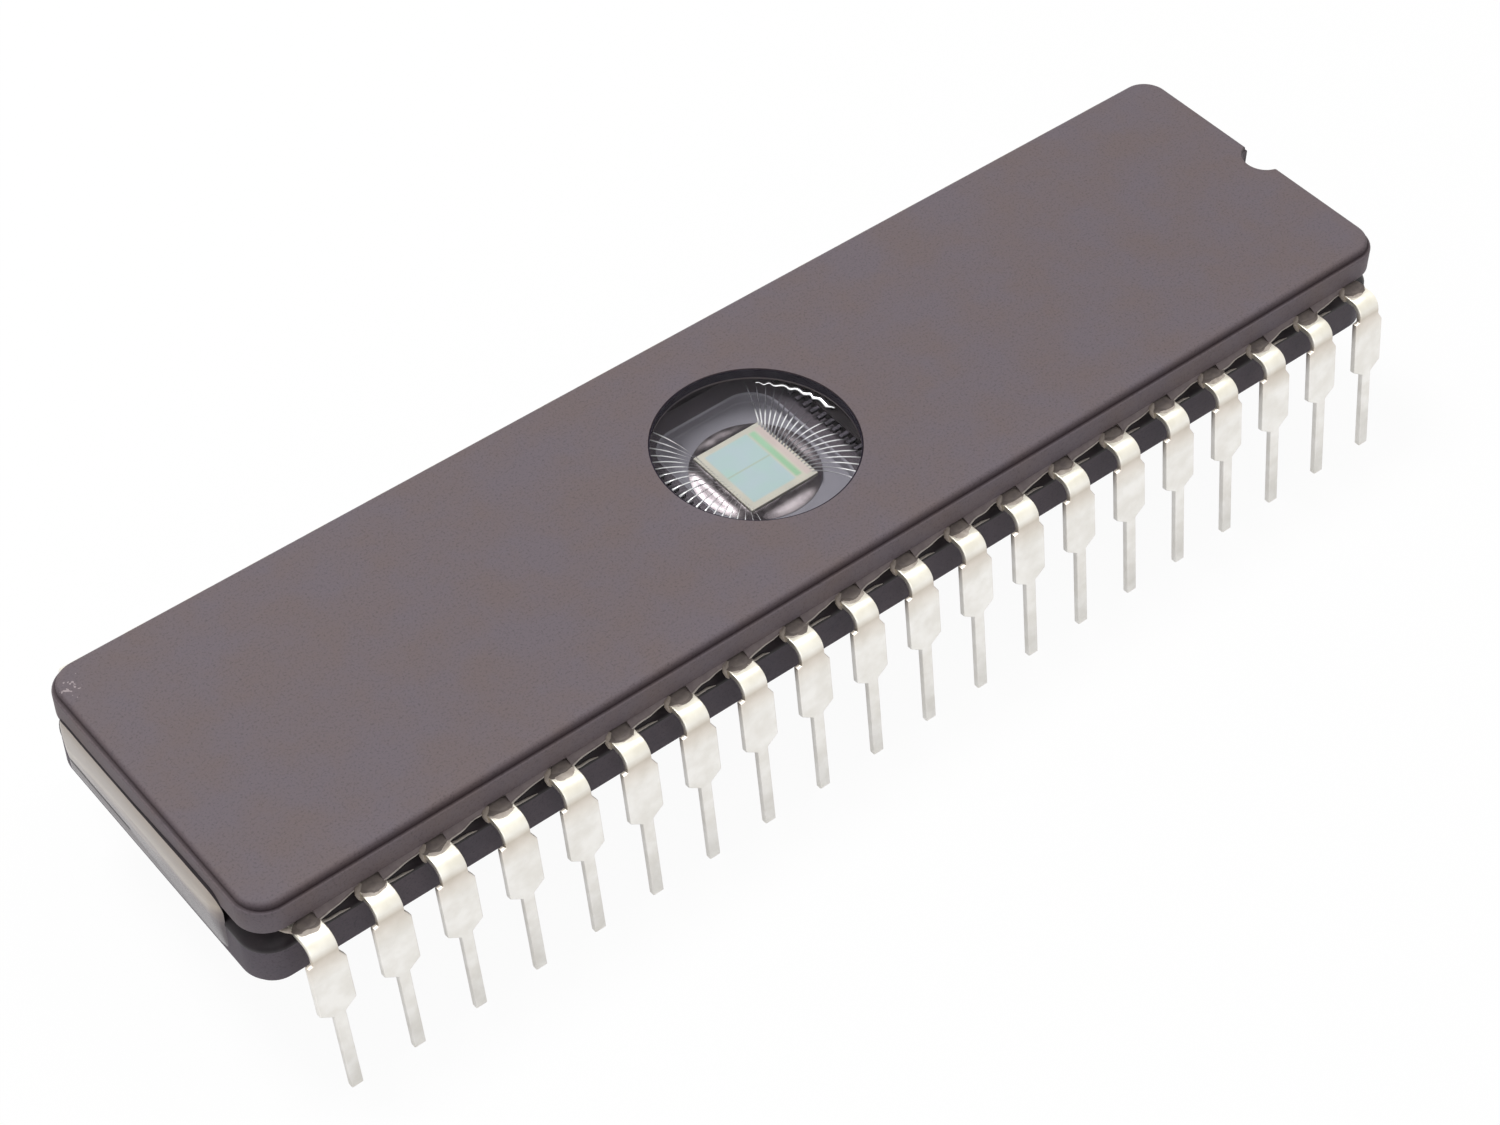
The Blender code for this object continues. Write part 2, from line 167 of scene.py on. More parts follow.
# Base
# The lower slab of the package: alumina powder with a dark pigment, dry pressed in a die and fired.
# Its lower face stands proud of a narrow ledge, and the die sits in a shallow cavity in its top.
NEAR = 0.001 * MM
MERGE_DISTANCE = 0.0002 * MM
SHARP_ANGLE = math.radians(38)
PATCH_WIDTH = 2.6 * MM
GRAIN_WIDTH = 0.09 * MM  # the real grain is finer, and is drawn as coarse as it needs to show
LEDGE_WIDTH = 0.15 * MM
LEDGE_DROP = 0.3 * MM
SHOULDER_ROUND = 0.16 * MM
SHOULDER_LEAN = 0.03 * MM
CORNER_RADIUS = 1.2 * MM
LEDGE_ROUND = 0.11 * MM
BASE_TOP_ROUND = 0.35 * MM
CAVITY_ROUND = 0.1 * MM
FIT_GAP = 0.01 * MM
base_low, base_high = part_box("base")
HALF_LENGTH = base_high.x
HALF_WIDTH = base_high.y


def start_material(name, settings):
    """A new material, with its node tree and its shader, on which some sockets are set."""
    material = bpy.data.materials.new(name)
    material.use_nodes = True
    shader = material.node_tree.nodes["Principled BSDF"]
    for socket, value in settings.items():
        shader.inputs[socket].default_value = value
    return material, material.node_tree, shader


def pressed_alumina(name, ground, spot, pore, ledge_z, face_z):
    """Matt fired ceramic, with faint patches and a fine grain, and painted shade towards the foot of its
    shoulder.
    """
    material, tree, shader = start_material(name, {"Specular IOR Level": 0.22})
    place = add_node(tree, "ShaderNodeTexCoord").outputs["Object"]
    patches = add_node(tree, "ShaderNodeTexNoise", {
        "Vector": place, "Scale": 1 / PATCH_WIDTH, "Detail": 4.0, "Roughness": 0.6})
    tint = add_node(tree, "ShaderNodeValToRGB", {"Fac": patches.outputs["Fac"]},
                    stops=((0.36, ground), (0.64, spot)))
    grain = add_node(tree, "ShaderNodeTexNoise", {
        "Vector": place, "Scale": 1 / GRAIN_WIDTH, "Detail": 4.0, "Roughness": 0.7})
    pits = add_node(tree, "ShaderNodeValToRGB", {"Fac": grain.outputs["Fac"]},
                    stops=((0.3, pore), (0.5, "#ffffff")))
    speckled = add_node(tree, "ShaderNodeMix", {
        0: 0.35, 6: tint.outputs["Color"], 7: pits.outputs["Color"]},
        data_type="RGBA", blend_type="MULTIPLY")
    # Painted shade: the colour darkens towards the foot of the shoulder, where its corner lies in shade.
    height = add_node(tree, "ShaderNodeMapRange", {
        "Value": add_node(tree, "ShaderNodeSeparateXYZ", {"Vector": place}).outputs["Z"],
        1: ledge_z + (ledge_z - face_z) * 0.2, 2: face_z, 3: 0.0, 4: 1.0})
    shade = add_node(tree, "ShaderNodeValToRGB", {"Fac": height.outputs[0]}, stops=(
        (0.1, "#ffffff"), (0.17, "#a2979a"), (0.45, "#ada3a6"), (0.72, "#dad3d5"), (0.93, "#ffffff")))
    shaded = add_node(tree, "ShaderNodeMix", {
        0: 1.0, 6: speckled.outputs[2], 7: shade.outputs["Color"]}, data_type="RGBA", blend_type="MULTIPLY")
    tree.links.new(shaded.outputs[2], shader.inputs["Base Color"])
    gloss = add_node(tree, "ShaderNodeMapRange", {"Value": grain.outputs["Fac"], 3: 0.52, 4: 0.7})
    tree.links.new(gloss.outputs[0], shader.inputs["Roughness"])
    bump = add_node(tree, "ShaderNodeBump", {
        "Height": grain.outputs["Fac"], "Strength": 0.35, "Distance": 0.012 * MM})
    tree.links.new(bump.outputs["Normal"], shader.inputs["Normal"])
    return material


def round_block(half_x, half_y, low_z, high_z, segments=10):
    """An upright block with the slabs' round corners."""
    bm = bmesh.new()
    bmesh.ops.create_cube(bm, size=1.0)
    bmesh.ops.scale(bm, vec=(2 * half_x, 2 * half_y, high_z - low_z), verts=bm.verts)
    bmesh.ops.translate(bm, vec=(0.0, 0.0, (low_z + high_z) / 2), verts=bm.verts)
    upright = [edge for edge in bm.edges if edge.verts[0].co.xy == edge.verts[1].co.xy]
    bmesh.ops.bevel(bm, geom=upright, offset=CORNER_RADIUS, segments=segments, profile=0.5,
                    affect="EDGES", material=-1)
    return bm


def press_slab(joint_z, face_z):
    """A slab from its flat joint face to its outer face, which stands proud of a ledge."""
    out = 1 if face_z > joint_z else -1
    ledge_z = face_z - out * LEDGE_DROP
    bm = round_block(HALF_LENGTH, HALF_WIDTH, min(joint_z, ledge_z), max(joint_z, ledge_z), segments=14)
    face = max(bm.faces, key=lambda item: out * item.calc_center_median().z)
    outer_edges = list(face.edges)
    bmesh.ops.inset_region(bm, faces=[face], thickness=LEDGE_WIDTH, use_even_offset=True)
    bmesh.ops.inset_region(bm, faces=[face], thickness=SHOULDER_LEAN, use_even_offset=True)
    bmesh.ops.translate(bm, vec=(0.0, 0.0, out * LEDGE_DROP), verts=face.verts)
    bmesh.ops.bevel(bm, geom=list(face.edges), offset=SHOULDER_ROUND, segments=8, profile=0.5,
                    affect="EDGES", material=-1)
    bmesh.ops.bevel(bm, geom=outer_edges, offset=LEDGE_ROUND, segments=4, profile=0.5,
                    affect="EDGES", material=-1)
    return bm


def make_piece(name, bm, materials, slot, *replaced):
    """Finish a mesh as a piece that rides on the chip and stands for its CAD nodes."""
    bmesh.ops.remove_doubles(bm, verts=bm.verts, dist=MERGE_DISTANCE)
    bmesh.ops.recalc_face_normals(bm, faces=bm.faces)
    mesh = bpy.data.meshes.new(name)
    bm.to_mesh(mesh)
    bm.free()
    mesh.shade_smooth()
    mesh.set_sharp_from_angle(angle=SHARP_ANGLE)
    for material in materials:
        mesh.materials.append(material)
    piece = bpy.data.objects.new(name, mesh)
    bpy.context.scene.collection.objects.link(piece)
    piece.modifiers.new("even_shading", "WEIGHTED_NORMAL").keep_sharp = True
    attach(piece, "root")
    if replaced:
        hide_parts(*replaced)
    return piece


base_ceramic = pressed_alumina("pressed_alumina_base", "#58525a", "#60585f", "#403b44",
                               base_low.z + LEDGE_DROP, base_low.z)
bm = press_slab(base_high.z, base_low.z)
joint_face = max(bm.faces, key=lambda item: item.calc_center_median().z)
bmesh.ops.bevel(bm, geom=list(joint_face.edges), offset=BASE_TOP_ROUND, segments=5, profile=0.5,
                affect="EDGES", material=-1)


def exact_cut(bm, cutter):
    """Cut one mesh out of another, which uses both up."""
    pieces = []
    for name, part in (("kept", bm), ("tool", cutter)):
        mesh = bpy.data.meshes.new(name)
        part.to_mesh(mesh)
        part.free()
        piece = bpy.data.objects.new(name, mesh)
        bpy.context.scene.collection.objects.link(piece)
        pieces.append(piece)
    kept, tool = pieces
    boolean = kept.modifiers.new("cut", "BOOLEAN")
    boolean.operation = "DIFFERENCE"
    boolean.object = tool
    bpy.context.view_layer.update()
    evaluated = kept.evaluated_get(bpy.context.evaluated_depsgraph_get())
    result = bmesh.new()
    result.from_mesh(evaluated.to_mesh())
    for piece in pieces:
        mesh = piece.data
        bpy.data.objects.remove(piece)
        bpy.data.meshes.remove(mesh)
    return result


attach_low, attach_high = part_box("die_attach")
ATTACH_RADIUS = attach_high.x
CAVITY_FLOOR = attach_low.z - FIT_GAP
CAVITY_HALF_X = ATTACH_RADIUS + 0.15 * MM
CAVITY_HALF_Y = ATTACH_RADIUS + 0.75 * MM
pocket = round_block(CAVITY_HALF_X, CAVITY_HALF_Y, CAVITY_FLOOR, base_high.z + MM)
floor_face = min(pocket.faces, key=lambda item: item.calc_center_median().z)
bmesh.ops.bevel(pocket, geom=list(floor_face.edges), offset=CAVITY_ROUND, segments=3, profile=0.5,
                affect="EDGES", material=-1)
bm = exact_cut(bm, pocket)
rim = [edge for edge in bm.edges
       if all(vert.co.z > base_high.z - NEAR for vert in edge.verts)
       and any(abs(face.normal.z) < 0.5 for face in edge.link_faces)]
bmesh.ops.bevel(bm, geom=rim, offset=CAVITY_ROUND, segments=4, profile=0.5, affect="EDGES", material=-1)
for face in bm.faces:
    centre = face.calc_center_median()
    in_plan = abs(centre.x) < CAVITY_HALF_X + CAVITY_ROUND and abs(centre.y) < CAVITY_HALF_Y + CAVITY_ROUND
    face.material_index = int(in_plan and CAVITY_FLOOR - MM / 2 < centre.z < base_high.z)
# The cavity is seen through the window, in the cap's shade, so its ceramic is painted paler: painted
# light for that shade, and for the pane's reflection, which is turned down.
painted_light_cavity_ceramic = pressed_alumina("pressed_alumina_cavity_painted_light", "#88868e", "#928f98", "#ffffff",
                                 base_low.z + LEDGE_DROP, base_low.z)
make_piece("base_slab", bm, (base_ceramic, painted_light_cavity_ceramic), "pressed_ceramic", "base")


# Die attach
# A drop of silver-filled glass pressed out under the die. It ends in a soft round rim, and it
# climbs the die's sides in a fillet.
die_low, die_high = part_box("die")
DIE_HALF = Vector((die_high.x, die_high.y))
FILLET_REACH = 0.42 * MM
FILLET_HEIGHT = 0.26 * MM
RIM_BEAD = 0.07 * MM
RIM_RUN = 0.3 * MM
SKIN = 0.02 * MM
RIPPLE_HEIGHT = 0.02 * MM
RIPPLE_WIDTH = 0.35 * MM
RINGS = 22
RINGS_REACH = 0.97
bm = bmesh.new()
bmesh.ops.create_circle(bm, cap_ends=True, segments=96, radius=ATTACH_RADIUS)
bmesh.ops.translate(bm, vec=(0.0, 0.0, attach_low.z), verts=bm.verts)
top = bmesh.ops.extrude_discrete_faces(bm, faces=bm.faces[:])["faces"][0]
bmesh.ops.translate(bm, vec=(0.0, 0.0, SKIN), verts=top.verts)
for _ in range(RINGS - 1):
    bmesh.ops.inset_region(bm, faces=[top], thickness=ATTACH_RADIUS / RINGS * RINGS_REACH)
for vert in bm.verts:
    if vert.co.z > attach_low.z + SKIN / 2:
        radius = vert.co.xy.length
        gap = max(abs(vert.co.x) - DIE_HALF.x, abs(vert.co.y) - DIE_HALF.y, 0.0)
        climb = max(0.0, 1 - gap / FILLET_REACH) ** 2 * FILLET_HEIGHT
        rim = min(max((ATTACH_RADIUS - radius) / RIM_RUN, 0.0), 1.0)
        ripple = noise.noise(vert.co / RIPPLE_WIDTH) * RIPPLE_HEIGHT
        vert.co.z += RIM_BEAD * math.sqrt(rim) + climb + ripple * rim


def silver_glass(name):
    """Silver flakes fired in glass: a grey metal with an uneven satin shine."""
    material, tree, shader = start_material(name, {"Metallic": 1.0})
    place = add_node(tree, "ShaderNodeTexCoord").outputs["Object"]
    flakes = add_node(tree, "ShaderNodeTexNoise", {
        "Vector": place, "Scale": 1 / (0.5 * MM), "Detail": 3.0, "Roughness": 0.5})
    tint = add_node(tree, "ShaderNodeValToRGB", {"Fac": flakes.outputs["Fac"]},
                    stops=((0.35, "#837b7f"), (0.6, "#9c9497")))
    tree.links.new(tint.outputs["Color"], shader.inputs["Base Color"])
    gloss = add_node(tree, "ShaderNodeMapRange", {"Value": flakes.outputs["Fac"], 3: 0.3, 4: 0.5})
    tree.links.new(gloss.outputs[0], shader.inputs["Roughness"])
    bump = add_node(tree, "ShaderNodeBump", {
        "Height": flakes.outputs["Fac"], "Strength": 0.3, "Distance": 0.03 * MM})
    tree.links.new(bump.outputs["Normal"], shader.inputs["Normal"])
    return material


make_piece("silver_pool", bm, [silver_glass("silver_glass")], "silver_glass", "die_attach")


# Die
# A sawn chip of silicon. Thin films give its two memory blocks a pale teal, with a green strip of
# row drivers, and bare paths and bond pads leave a beige border. Its areas are in millimetres.
DIE_EDGE_BREAK = 0.015 * MM
ARRAY_MIDDLE = (-0.24, 0.03)
ARRAY_HALF = (0.98, 1.43)
STRIP_MIDDLE = (0.94, 0.03)
STRIP_HALF = (0.13, 1.38)
SPLIT_MIDDLE = (-0.24, 0.1)
SPLIT_HALF = (0.98, 0.035)
MARGIN_MIDDLE = (1.3, 0.0)
MARGIN_HALF = (0.14, 1.5)


def film_silicon(name):
    """A sawn chip under thin films: teal memory blocks, a green driver strip and a beige border."""
    material, tree, shader = start_material(name, {"Roughness": 0.3, "IOR": 2.0})
    place = add_node(tree, "ShaderNodeTexCoord").outputs["Object"]
    axes = add_node(tree, "ShaderNodeSeparateXYZ", {"Vector": place})
    drift = add_node(tree, "ShaderNodeTexNoise", {"Vector": place, "Scale": 1 / (1.1 * MM), "Detail": 1.0})
    border = add_node(tree, "ShaderNodeValToRGB", {"Fac": drift.outputs["Fac"]},
                      stops=((0.35, "#b4b1a4"), (0.65, "#c2bdad")))
    shown = border.outputs["Color"]
    for middle, half, soft, low, high in (
        (MARGIN_MIDDLE, MARGIN_HALF, 0.1, "#b9a8a3", "#c4b3ac"),
        (ARRAY_MIDDLE, ARRAY_HALF, 0.13, "#9cbdb5", "#a3b9be"),
        (STRIP_MIDDLE, STRIP_HALF, 0.16, "#8fbd9a", "#84b58a"),
        (SPLIT_MIDDLE, SPLIT_HALF, 0.07, "#9aad9c", "#9fae9e"),
    ):
        inside = None
        for axis, centre, reach in zip("XY", middle, half):
            offset = add_node(tree, "ShaderNodeMath", {0: axes.outputs[axis], 1: centre * MM},
                              operation="SUBTRACT")
            distance = add_node(tree, "ShaderNodeMath", {0: offset.outputs[0]}, operation="ABSOLUTE")
            fade = add_node(tree, "ShaderNodeMapRange", {
                "Value": distance.outputs[0], 1: (reach - soft / 2) * MM, 2: (reach + soft / 2) * MM,
                3: 1.0, 4: 0.0}, interpolation_type="SMOOTHSTEP")
            inside = fade.outputs[0] if inside is None else add_node(
                tree, "ShaderNodeMath", {0: inside, 1: fade.outputs[0]}, operation="MULTIPLY").outputs[0]
        film = add_node(tree, "ShaderNodeValToRGB", {"Fac": drift.outputs["Fac"]},
                        stops=((0.35, low), (0.65, high)))
        shown = add_node(tree, "ShaderNodeMix", {0: inside, 6: shown, 7: film.outputs["Color"]},
                         data_type="RGBA").outputs[2]
    tree.links.new(shown, shader.inputs["Base Color"])
    return material


bm = bmesh.new()
bmesh.ops.create_cube(bm, size=1.0)
bmesh.ops.scale(bm, vec=die_high - die_low, verts=bm.verts)
bmesh.ops.translate(bm, vec=(die_high + die_low) / 2, verts=bm.verts)
bmesh.ops.bevel(bm, geom=bm.edges[:], offset=DIE_EDGE_BREAK, segments=1, profile=0.5,
                affect="EDGES", material=-1)
make_piece("die_chip", bm, [film_silicon("filmed_silicon")], "silicon", "die")


# Leads
# Forty leads, stamped from one sheet of iron-nickel alloy, bent down beside the body and dipped in
# tin. The tin rounds every edge, with a painted highlight over the bend and painted shade just below it.
PITCH = 2.54 * MM
ROW_LEADS = 20
LEAD_THICKNESS = 0.25 * MM
LEAD_SPLAY = math.radians(8.0)
BEND_RADIUS = 0.6 * MM
NECK_WIDTH = 1.0 * MM
NECK_LENGTH = 0.18 * MM
SQUARE_DROP = 0.03 * MM
SLOPED_DROP = 0.36 * MM
WIDE_PART_WIDTH = 1.43 * MM
PIN_LENGTH = 3.5 * MM
PIN_CHAMFER = 0.33 * MM
PIN_WIDTH = 0.46 * MM
FINGER_WIDTH = 0.2 * MM
FINGER_END_LENGTH = 1.0 * MM
FINGER_PITCH = 0.42 * MM
KNEE_WIDTH = 0.5 * MM
EDGE_ROLL = 0.045 * MM
EDGE_ANGLE = math.radians(50)
TIP_TRIM = 0.08 * MM
PAINTED_BEND_DEPTH = 1.6 * MM
LEAD_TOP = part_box("lead_01")[1].z
ROW_HALF = HALF_WIDTH + 1.27 * MM
TIP_HALF_X = CAVITY_HALF_X + 0.5 * MM
TIP_HALF_Y = CAVITY_HALF_Y + 0.5 * MM
NECK_START_Y = HALF_WIDTH - 0.8 * MM
KNEE_Y = NECK_START_Y - 0.55 * MM


def tin_plate(name):
    """Dipped tin over the alloy: a pale satin metal with cloudy patches, a painted highlight over the bend
    and painted shade below it.
    """
    material, tree, shader = start_material(name, {"Metallic": 1.0})
    place = add_node(tree, "ShaderNodeTexCoord").outputs["Object"]
    clouds = add_node(tree, "ShaderNodeTexNoise", {
        "Vector": place, "Scale": 1 / (0.7 * MM), "Detail": 3.0, "Roughness": 0.5})
    tint = add_node(tree, "ShaderNodeValToRGB", {"Fac": clouds.outputs["Fac"]},
                    stops=((0.35, "#ece9e3"), (0.65, "#f7f5f1")))
    # Painted highlight and painted shade by height: warm white over the bend, a darker band just below it.
    height = add_node(tree, "ShaderNodeMapRange", {
        "Value": add_node(tree, "ShaderNodeSeparateXYZ", {"Vector": place}).outputs["Z"],
        1: LEAD_TOP - PAINTED_BEND_DEPTH, 2: LEAD_TOP, 3: 0.0, 4: 1.0})
    painted_bend_light = add_node(tree, "ShaderNodeValToRGB", {"Fac": height.outputs[0]}, stops=(
        (0.0, "#ffffff"), (0.3, "#f5f2ee"), (0.5, "#eae4de"), (0.64, "#dcd5cc"), (0.8, "#fffefa"),
        (0.94, "#fffdf3")))
    shaded = add_node(tree, "ShaderNodeMix", {
        0: 1.0, 6: tint.outputs["Color"], 7: painted_bend_light.outputs["Color"]},
        data_type="RGBA", blend_type="MULTIPLY")
    tree.links.new(shaded.outputs[2], shader.inputs["Base Color"])
    gloss = add_node(tree, "ShaderNodeMapRange", {"Value": clouds.outputs["Fac"], 3: 0.35, 4: 0.47})
    tree.links.new(gloss.outputs[0], shader.inputs["Roughness"])
    grain = add_node(tree, "ShaderNodeTexNoise", {
        "Vector": place, "Scale": 1 / (0.06 * MM), "Detail": 2.0})
    bump = add_node(tree, "ShaderNodeBump", {
        "Height": grain.outputs["Fac"], "Strength": 0.25, "Distance": 0.006 * MM})
    tree.links.new(bump.outputs["Normal"], shader.inputs["Normal"])
    return material


def bare_alloy(name):
    """Iron-nickel alloy heated with the seal: dull grey with a thin oxide, and no tin."""
    material, tree, shader = start_material(name, {"Metallic": 1.0, "Roughness": 0.55})
    place = add_node(tree, "ShaderNodeTexCoord").outputs["Object"]
    oxide = add_node(tree, "ShaderNodeTexNoise", {"Vector": place, "Scale": 1 / (0.4 * MM), "Detail": 3.0})
    tint = add_node(tree, "ShaderNodeValToRGB", {"Fac": oxide.outputs["Fac"]},
                    stops=((0.35, "#38353a"), (0.65, "#454147")))
    tree.links.new(tint.outputs["Color"], shader.inputs["Base Color"])
    return material


def finger_end(index):
    """Plan point and outward direction of a finger's end, counted from the long axis."""
    distance = (index + 0.5) * FINGER_PITCH
    straight = TIP_HALF_Y - CORNER_RADIUS
    if distance < straight:
        return Vector((TIP_HALF_X, distance)), Vector((1.0, 0.0))
    angle = (distance - straight) / CORNER_RADIUS
    outward = Vector((math.cos(angle), math.sin(angle)))
    return Vector((TIP_HALF_X - CORNER_RADIUS, straight)) + outward * CORNER_RADIUS, outward


def stamp_lead(index, square_side):
    """One lead of the +X +Y quadrant: a ribbon along its outer face, given its thickness.

    Its wide part has a square shoulder on the square side and a sloped one on the other.
    """
    lead_x = (ROW_LEADS / 2 - 0.5 - index) * PITCH
    end, outward = finger_end(index)
    stops = [
        (end, FINGER_WIDTH),
        (end + outward * FINGER_END_LENGTH, FINGER_WIDTH),
        (Vector((lead_x, KNEE_Y)), KNEE_WIDTH),
        (Vector((lead_x, NECK_START_Y)), NECK_WIDTH),
    ]
    bm = bmesh.new()
    edge = None
    for place, (point, width) in enumerate(stops):
        before = (point - stops[place - 1][0]).normalized() if place else outward
        after = Vector((0.0, 1.0))
        if place < len(stops) - 1:
            after = (stops[place + 1][0] - point).normalized()
        along = (before + after).normalized()
        across = Vector((along.y, -along.x)) * width / 2 / max(along.dot(after), 0.5)
        corners = [(*(point - across), LEAD_TOP), (*(point + across), LEAD_TOP)]
        if edge is None:
            edge = bm.edges.new([bm.verts.new(corner) for corner in corners])
        else:
            new = bmesh.ops.extrude_edge_only(bm, edges=[edge])["geom"]
            edge = [item for item in new if isinstance(item, bmesh.types.BMEdge)][0]
            near, far = sorted(edge.verts, key=lambda vert: (Vector(corners[0]) - vert.co).length)
            near.co = corners[0]
            far.co = corners[1]
    centre = Vector((lead_x, ROW_HALF - BEND_RADIUS * math.cos(LEAD_SPLAY), LEAD_TOP - BEND_RADIUS))
    new = bmesh.ops.extrude_edge_only(bm, edges=[edge])["geom"]
    edge = [item for item in new if isinstance(item, bmesh.types.BMEdge)][0]
    for vert in edge.verts:
        vert.co.y = centre.y
    spun = bmesh.ops.spin(bm, geom=[edge], cent=centre, axis=(-1.0, 0.0, 0.0), dvec=(0, 0, 0),
                          angle=math.pi / 2 - LEAD_SPLAY, steps=12, use_merge=False,
                          use_duplicate=False)
    edge = [item for item in spun["geom_last"] if isinstance(item, bmesh.types.BMEdge)][0]
    bend_end = edge.verts[0].co.copy()
    neck_end = bend_end.z - LEAD_THICKNESS * math.sin(LEAD_SPLAY) - NECK_LENGTH
    for z, drop, width in (
        (neck_end, 0, NECK_WIDTH),
        (neck_end, 1, WIDE_PART_WIDTH),
        (PIN_LENGTH + PIN_CHAMFER, 0, WIDE_PART_WIDTH),
        (PIN_LENGTH, 0, PIN_WIDTH),
        (-TIP_TRIM, 0, PIN_WIDTH),
    ):
        new = bmesh.ops.extrude_edge_only(bm, edges=[edge])["geom"]
        edge = [item for item in new if isinstance(item, bmesh.types.BMEdge)][0]
        for vert in edge.verts:
            side = 1 if vert.co.x > lead_x else -1
            low = z - drop * (SQUARE_DROP if side == square_side else SLOPED_DROP)
            run = (bend_end.z - low) * math.tan(LEAD_SPLAY)
            vert.co = (lead_x + side * width / 2, bend_end.y + run, low)
    bmesh.ops.recalc_face_normals(bm, faces=bm.faces)
    if bm.faces[:][0].normal.z < 0:
        bmesh.ops.reverse_faces(bm, faces=bm.faces)
    bmesh.ops.solidify(bm, geom=bm.faces[:], thickness=LEAD_THICKNESS)
    sharp = [edge for edge in bm.edges if edge.calc_face_angle(0.0) > EDGE_ANGLE]
    bmesh.ops.bevel(bm, geom=sharp, offset=EDGE_ROLL, segments=3, profile=0.5, affect="EDGES",
                    material=-1)
    cut = bmesh.ops.bisect_plane(bm, geom=bm.verts[:] + bm.edges[:] + bm.faces[:], clear_inner=True,
                                 plane_co=(0.0, 0.0, 0.0), plane_no=(0.0, 0.0, 1.0))
    rim = [item for item in cut["geom_cut"] if isinstance(item, bmesh.types.BMEdge)]
    bmesh.ops.edgenet_fill(bm, edges=rim)
    return bm


tin = tin_plate("dipped_tin")
alloy = bare_alloy("bare_alloy")
for number in range(1, 2 * ROW_LEADS + 1):
    place = (number - 1) % ROW_LEADS
    side_y = 1 if number <= ROW_LEADS else -1
    side_x = side_y if place < ROW_LEADS // 2 else -side_y
    bm = stamp_lead(min(place, ROW_LEADS - 1 - place), side_x * side_y)
    lead_name = f"lead_{number:02d}"
    bmesh.ops.scale(bm, vec=(side_x, side_y, 1.0), verts=bm.verts)
    for face in bm.faces:
        face.material_index = int(max(abs(vert.co.y) for vert in face.verts) < HALF_WIDTH)
    make_piece(f"plated_{lead_name}", bm, (tin, alloy), "tin_plate", lead_name)


# Cap
# The upper slab, pressed like the base, with its face up. A round hole takes the window, a recess
# underneath clears the bond wires, and a half-round notch marks the end with the first lead.
cap_low, cap_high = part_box("cap")
window_low, window_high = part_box("window")
WINDOW_RADIUS = window_high.x + FIT_GAP
NOTCH_RADIUS = 0.9 * MM
NOTCH_INSET = 0.03 * MM
NOTCH_SHIFT = -0.1 * MM
EDGE_BREAK = 0.05 * MM
RECESS_HALF_X = TIP_HALF_X + 1.0 * MM
RECESS_HALF_Y = TIP_HALF_Y + 1.0 * MM
RECESS_DEPTH = 0.35 * MM
SCUFF_CENTRE = Vector((-25.35, 5.3, 8.2)) * MM
SCUFF_REACH = 1.1 * MM
FLECK_WIDTH = 0.16 * MM


def scuff(material, centre, reach):
    """Add small pale scuffs to a material about a point."""
    tree = material.node_tree
    shader = tree.nodes["Principled BSDF"]
    clean = shader.inputs["Base Color"].links[0].from_socket
    place = add_node(tree, "ShaderNodeTexCoord").outputs["Object"]
    distance = add_node(tree, "ShaderNodeVectorMath", {0: place, 1: centre}, operation="DISTANCE")
    near = add_node(tree, "ShaderNodeMapRange", {
        "Value": distance.outputs["Value"], 1: 0.3 * reach, 2: reach, 3: 0.26, 4: 0.0})
    flecks = add_node(tree, "ShaderNodeTexNoise", {
        "Vector": place, "Scale": 1 / FLECK_WIDTH, "Detail": 1.0})
    marked = add_node(tree, "ShaderNodeMath", {0: flecks.outputs["Fac"], 1: near.outputs[0]},
                      operation="ADD")
    mask = add_node(tree, "ShaderNodeMapRange", {
        "Value": marked.outputs[0], 1: 0.88, 2: 0.92, 3: 0.0, 4: 0.6})
    shown = add_node(tree, "ShaderNodeMix", {
        0: mask.outputs[0], 6: clean, 7: colour("#b8abad")}, data_type="RGBA")
    tree.links.new(shown.outputs[2], shader.inputs["Base Color"])


cap_ceramic = pressed_alumina("pressed_alumina_cap", "#6c6061", "#6a6167", "#4b4446",
                              cap_high.z - LEDGE_DROP, cap_high.z)
scuff(cap_ceramic, SCUFF_CENTRE, SCUFF_REACH)
bm = press_slab(cap_low.z, cap_high.z)
joint_face = min(bm.faces, key=lambda item: item.calc_center_median().z)
bmesh.ops.bevel(bm, geom=list(joint_face.edges), offset=EDGE_BREAK, segments=2, profile=0.5,
                affect="EDGES", material=-1)
for radius, centre_x, centre_y in (
    (WINDOW_RADIUS, 0.0, 0.0), (NOTCH_RADIUS, HALF_LENGTH - NOTCH_INSET, NOTCH_SHIFT)):
    cutter = bmesh.new()
    bmesh.ops.create_cone(cutter, cap_ends=True, segments=96, radius1=radius, radius2=radius,
                          depth=4 * MM)
    bmesh.ops.translate(cutter, vec=(centre_x, centre_y, (cap_low.z + cap_high.z) / 2), verts=cutter.verts)
    bm = exact_cut(bm, cutter)
recess = round_block(RECESS_HALF_X, RECESS_HALF_Y, cap_low.z - MM, cap_low.z + RECESS_DEPTH)
bm = exact_cut(bm, recess)
make_piece("cap_slab", bm, [cap_ceramic], "pressed_ceramic", "cap")


# Window
# A disc of clear glass that lets ultraviolet light through, melted into the cap's hole with a dark
# frit. Its lower edge is round and a little wavy, and a bead of frit under it at one side is a painted
# glint.
TOP_BREAK = 0.05 * MM
BOTTOM_ROUND = 0.22 * MM
RIM_WAVE = 0.03
BEAD_RADIUS = window_high.x - 0.12 * MM
BEAD_DROP = 0.11 * MM
BEAD_HALF_WIDTH = 0.15 * MM
BEAD_HALF_HEIGHT = 0.09 * MM
BEAD_START = math.radians(1)
BEAD_SWEEP = math.radians(50)
BEAD_WAVES = 44
BEAD_SWAY = 0.045 * MM
BEAD_DIP = 0.012 * MM
BEAD_STEPS = 150


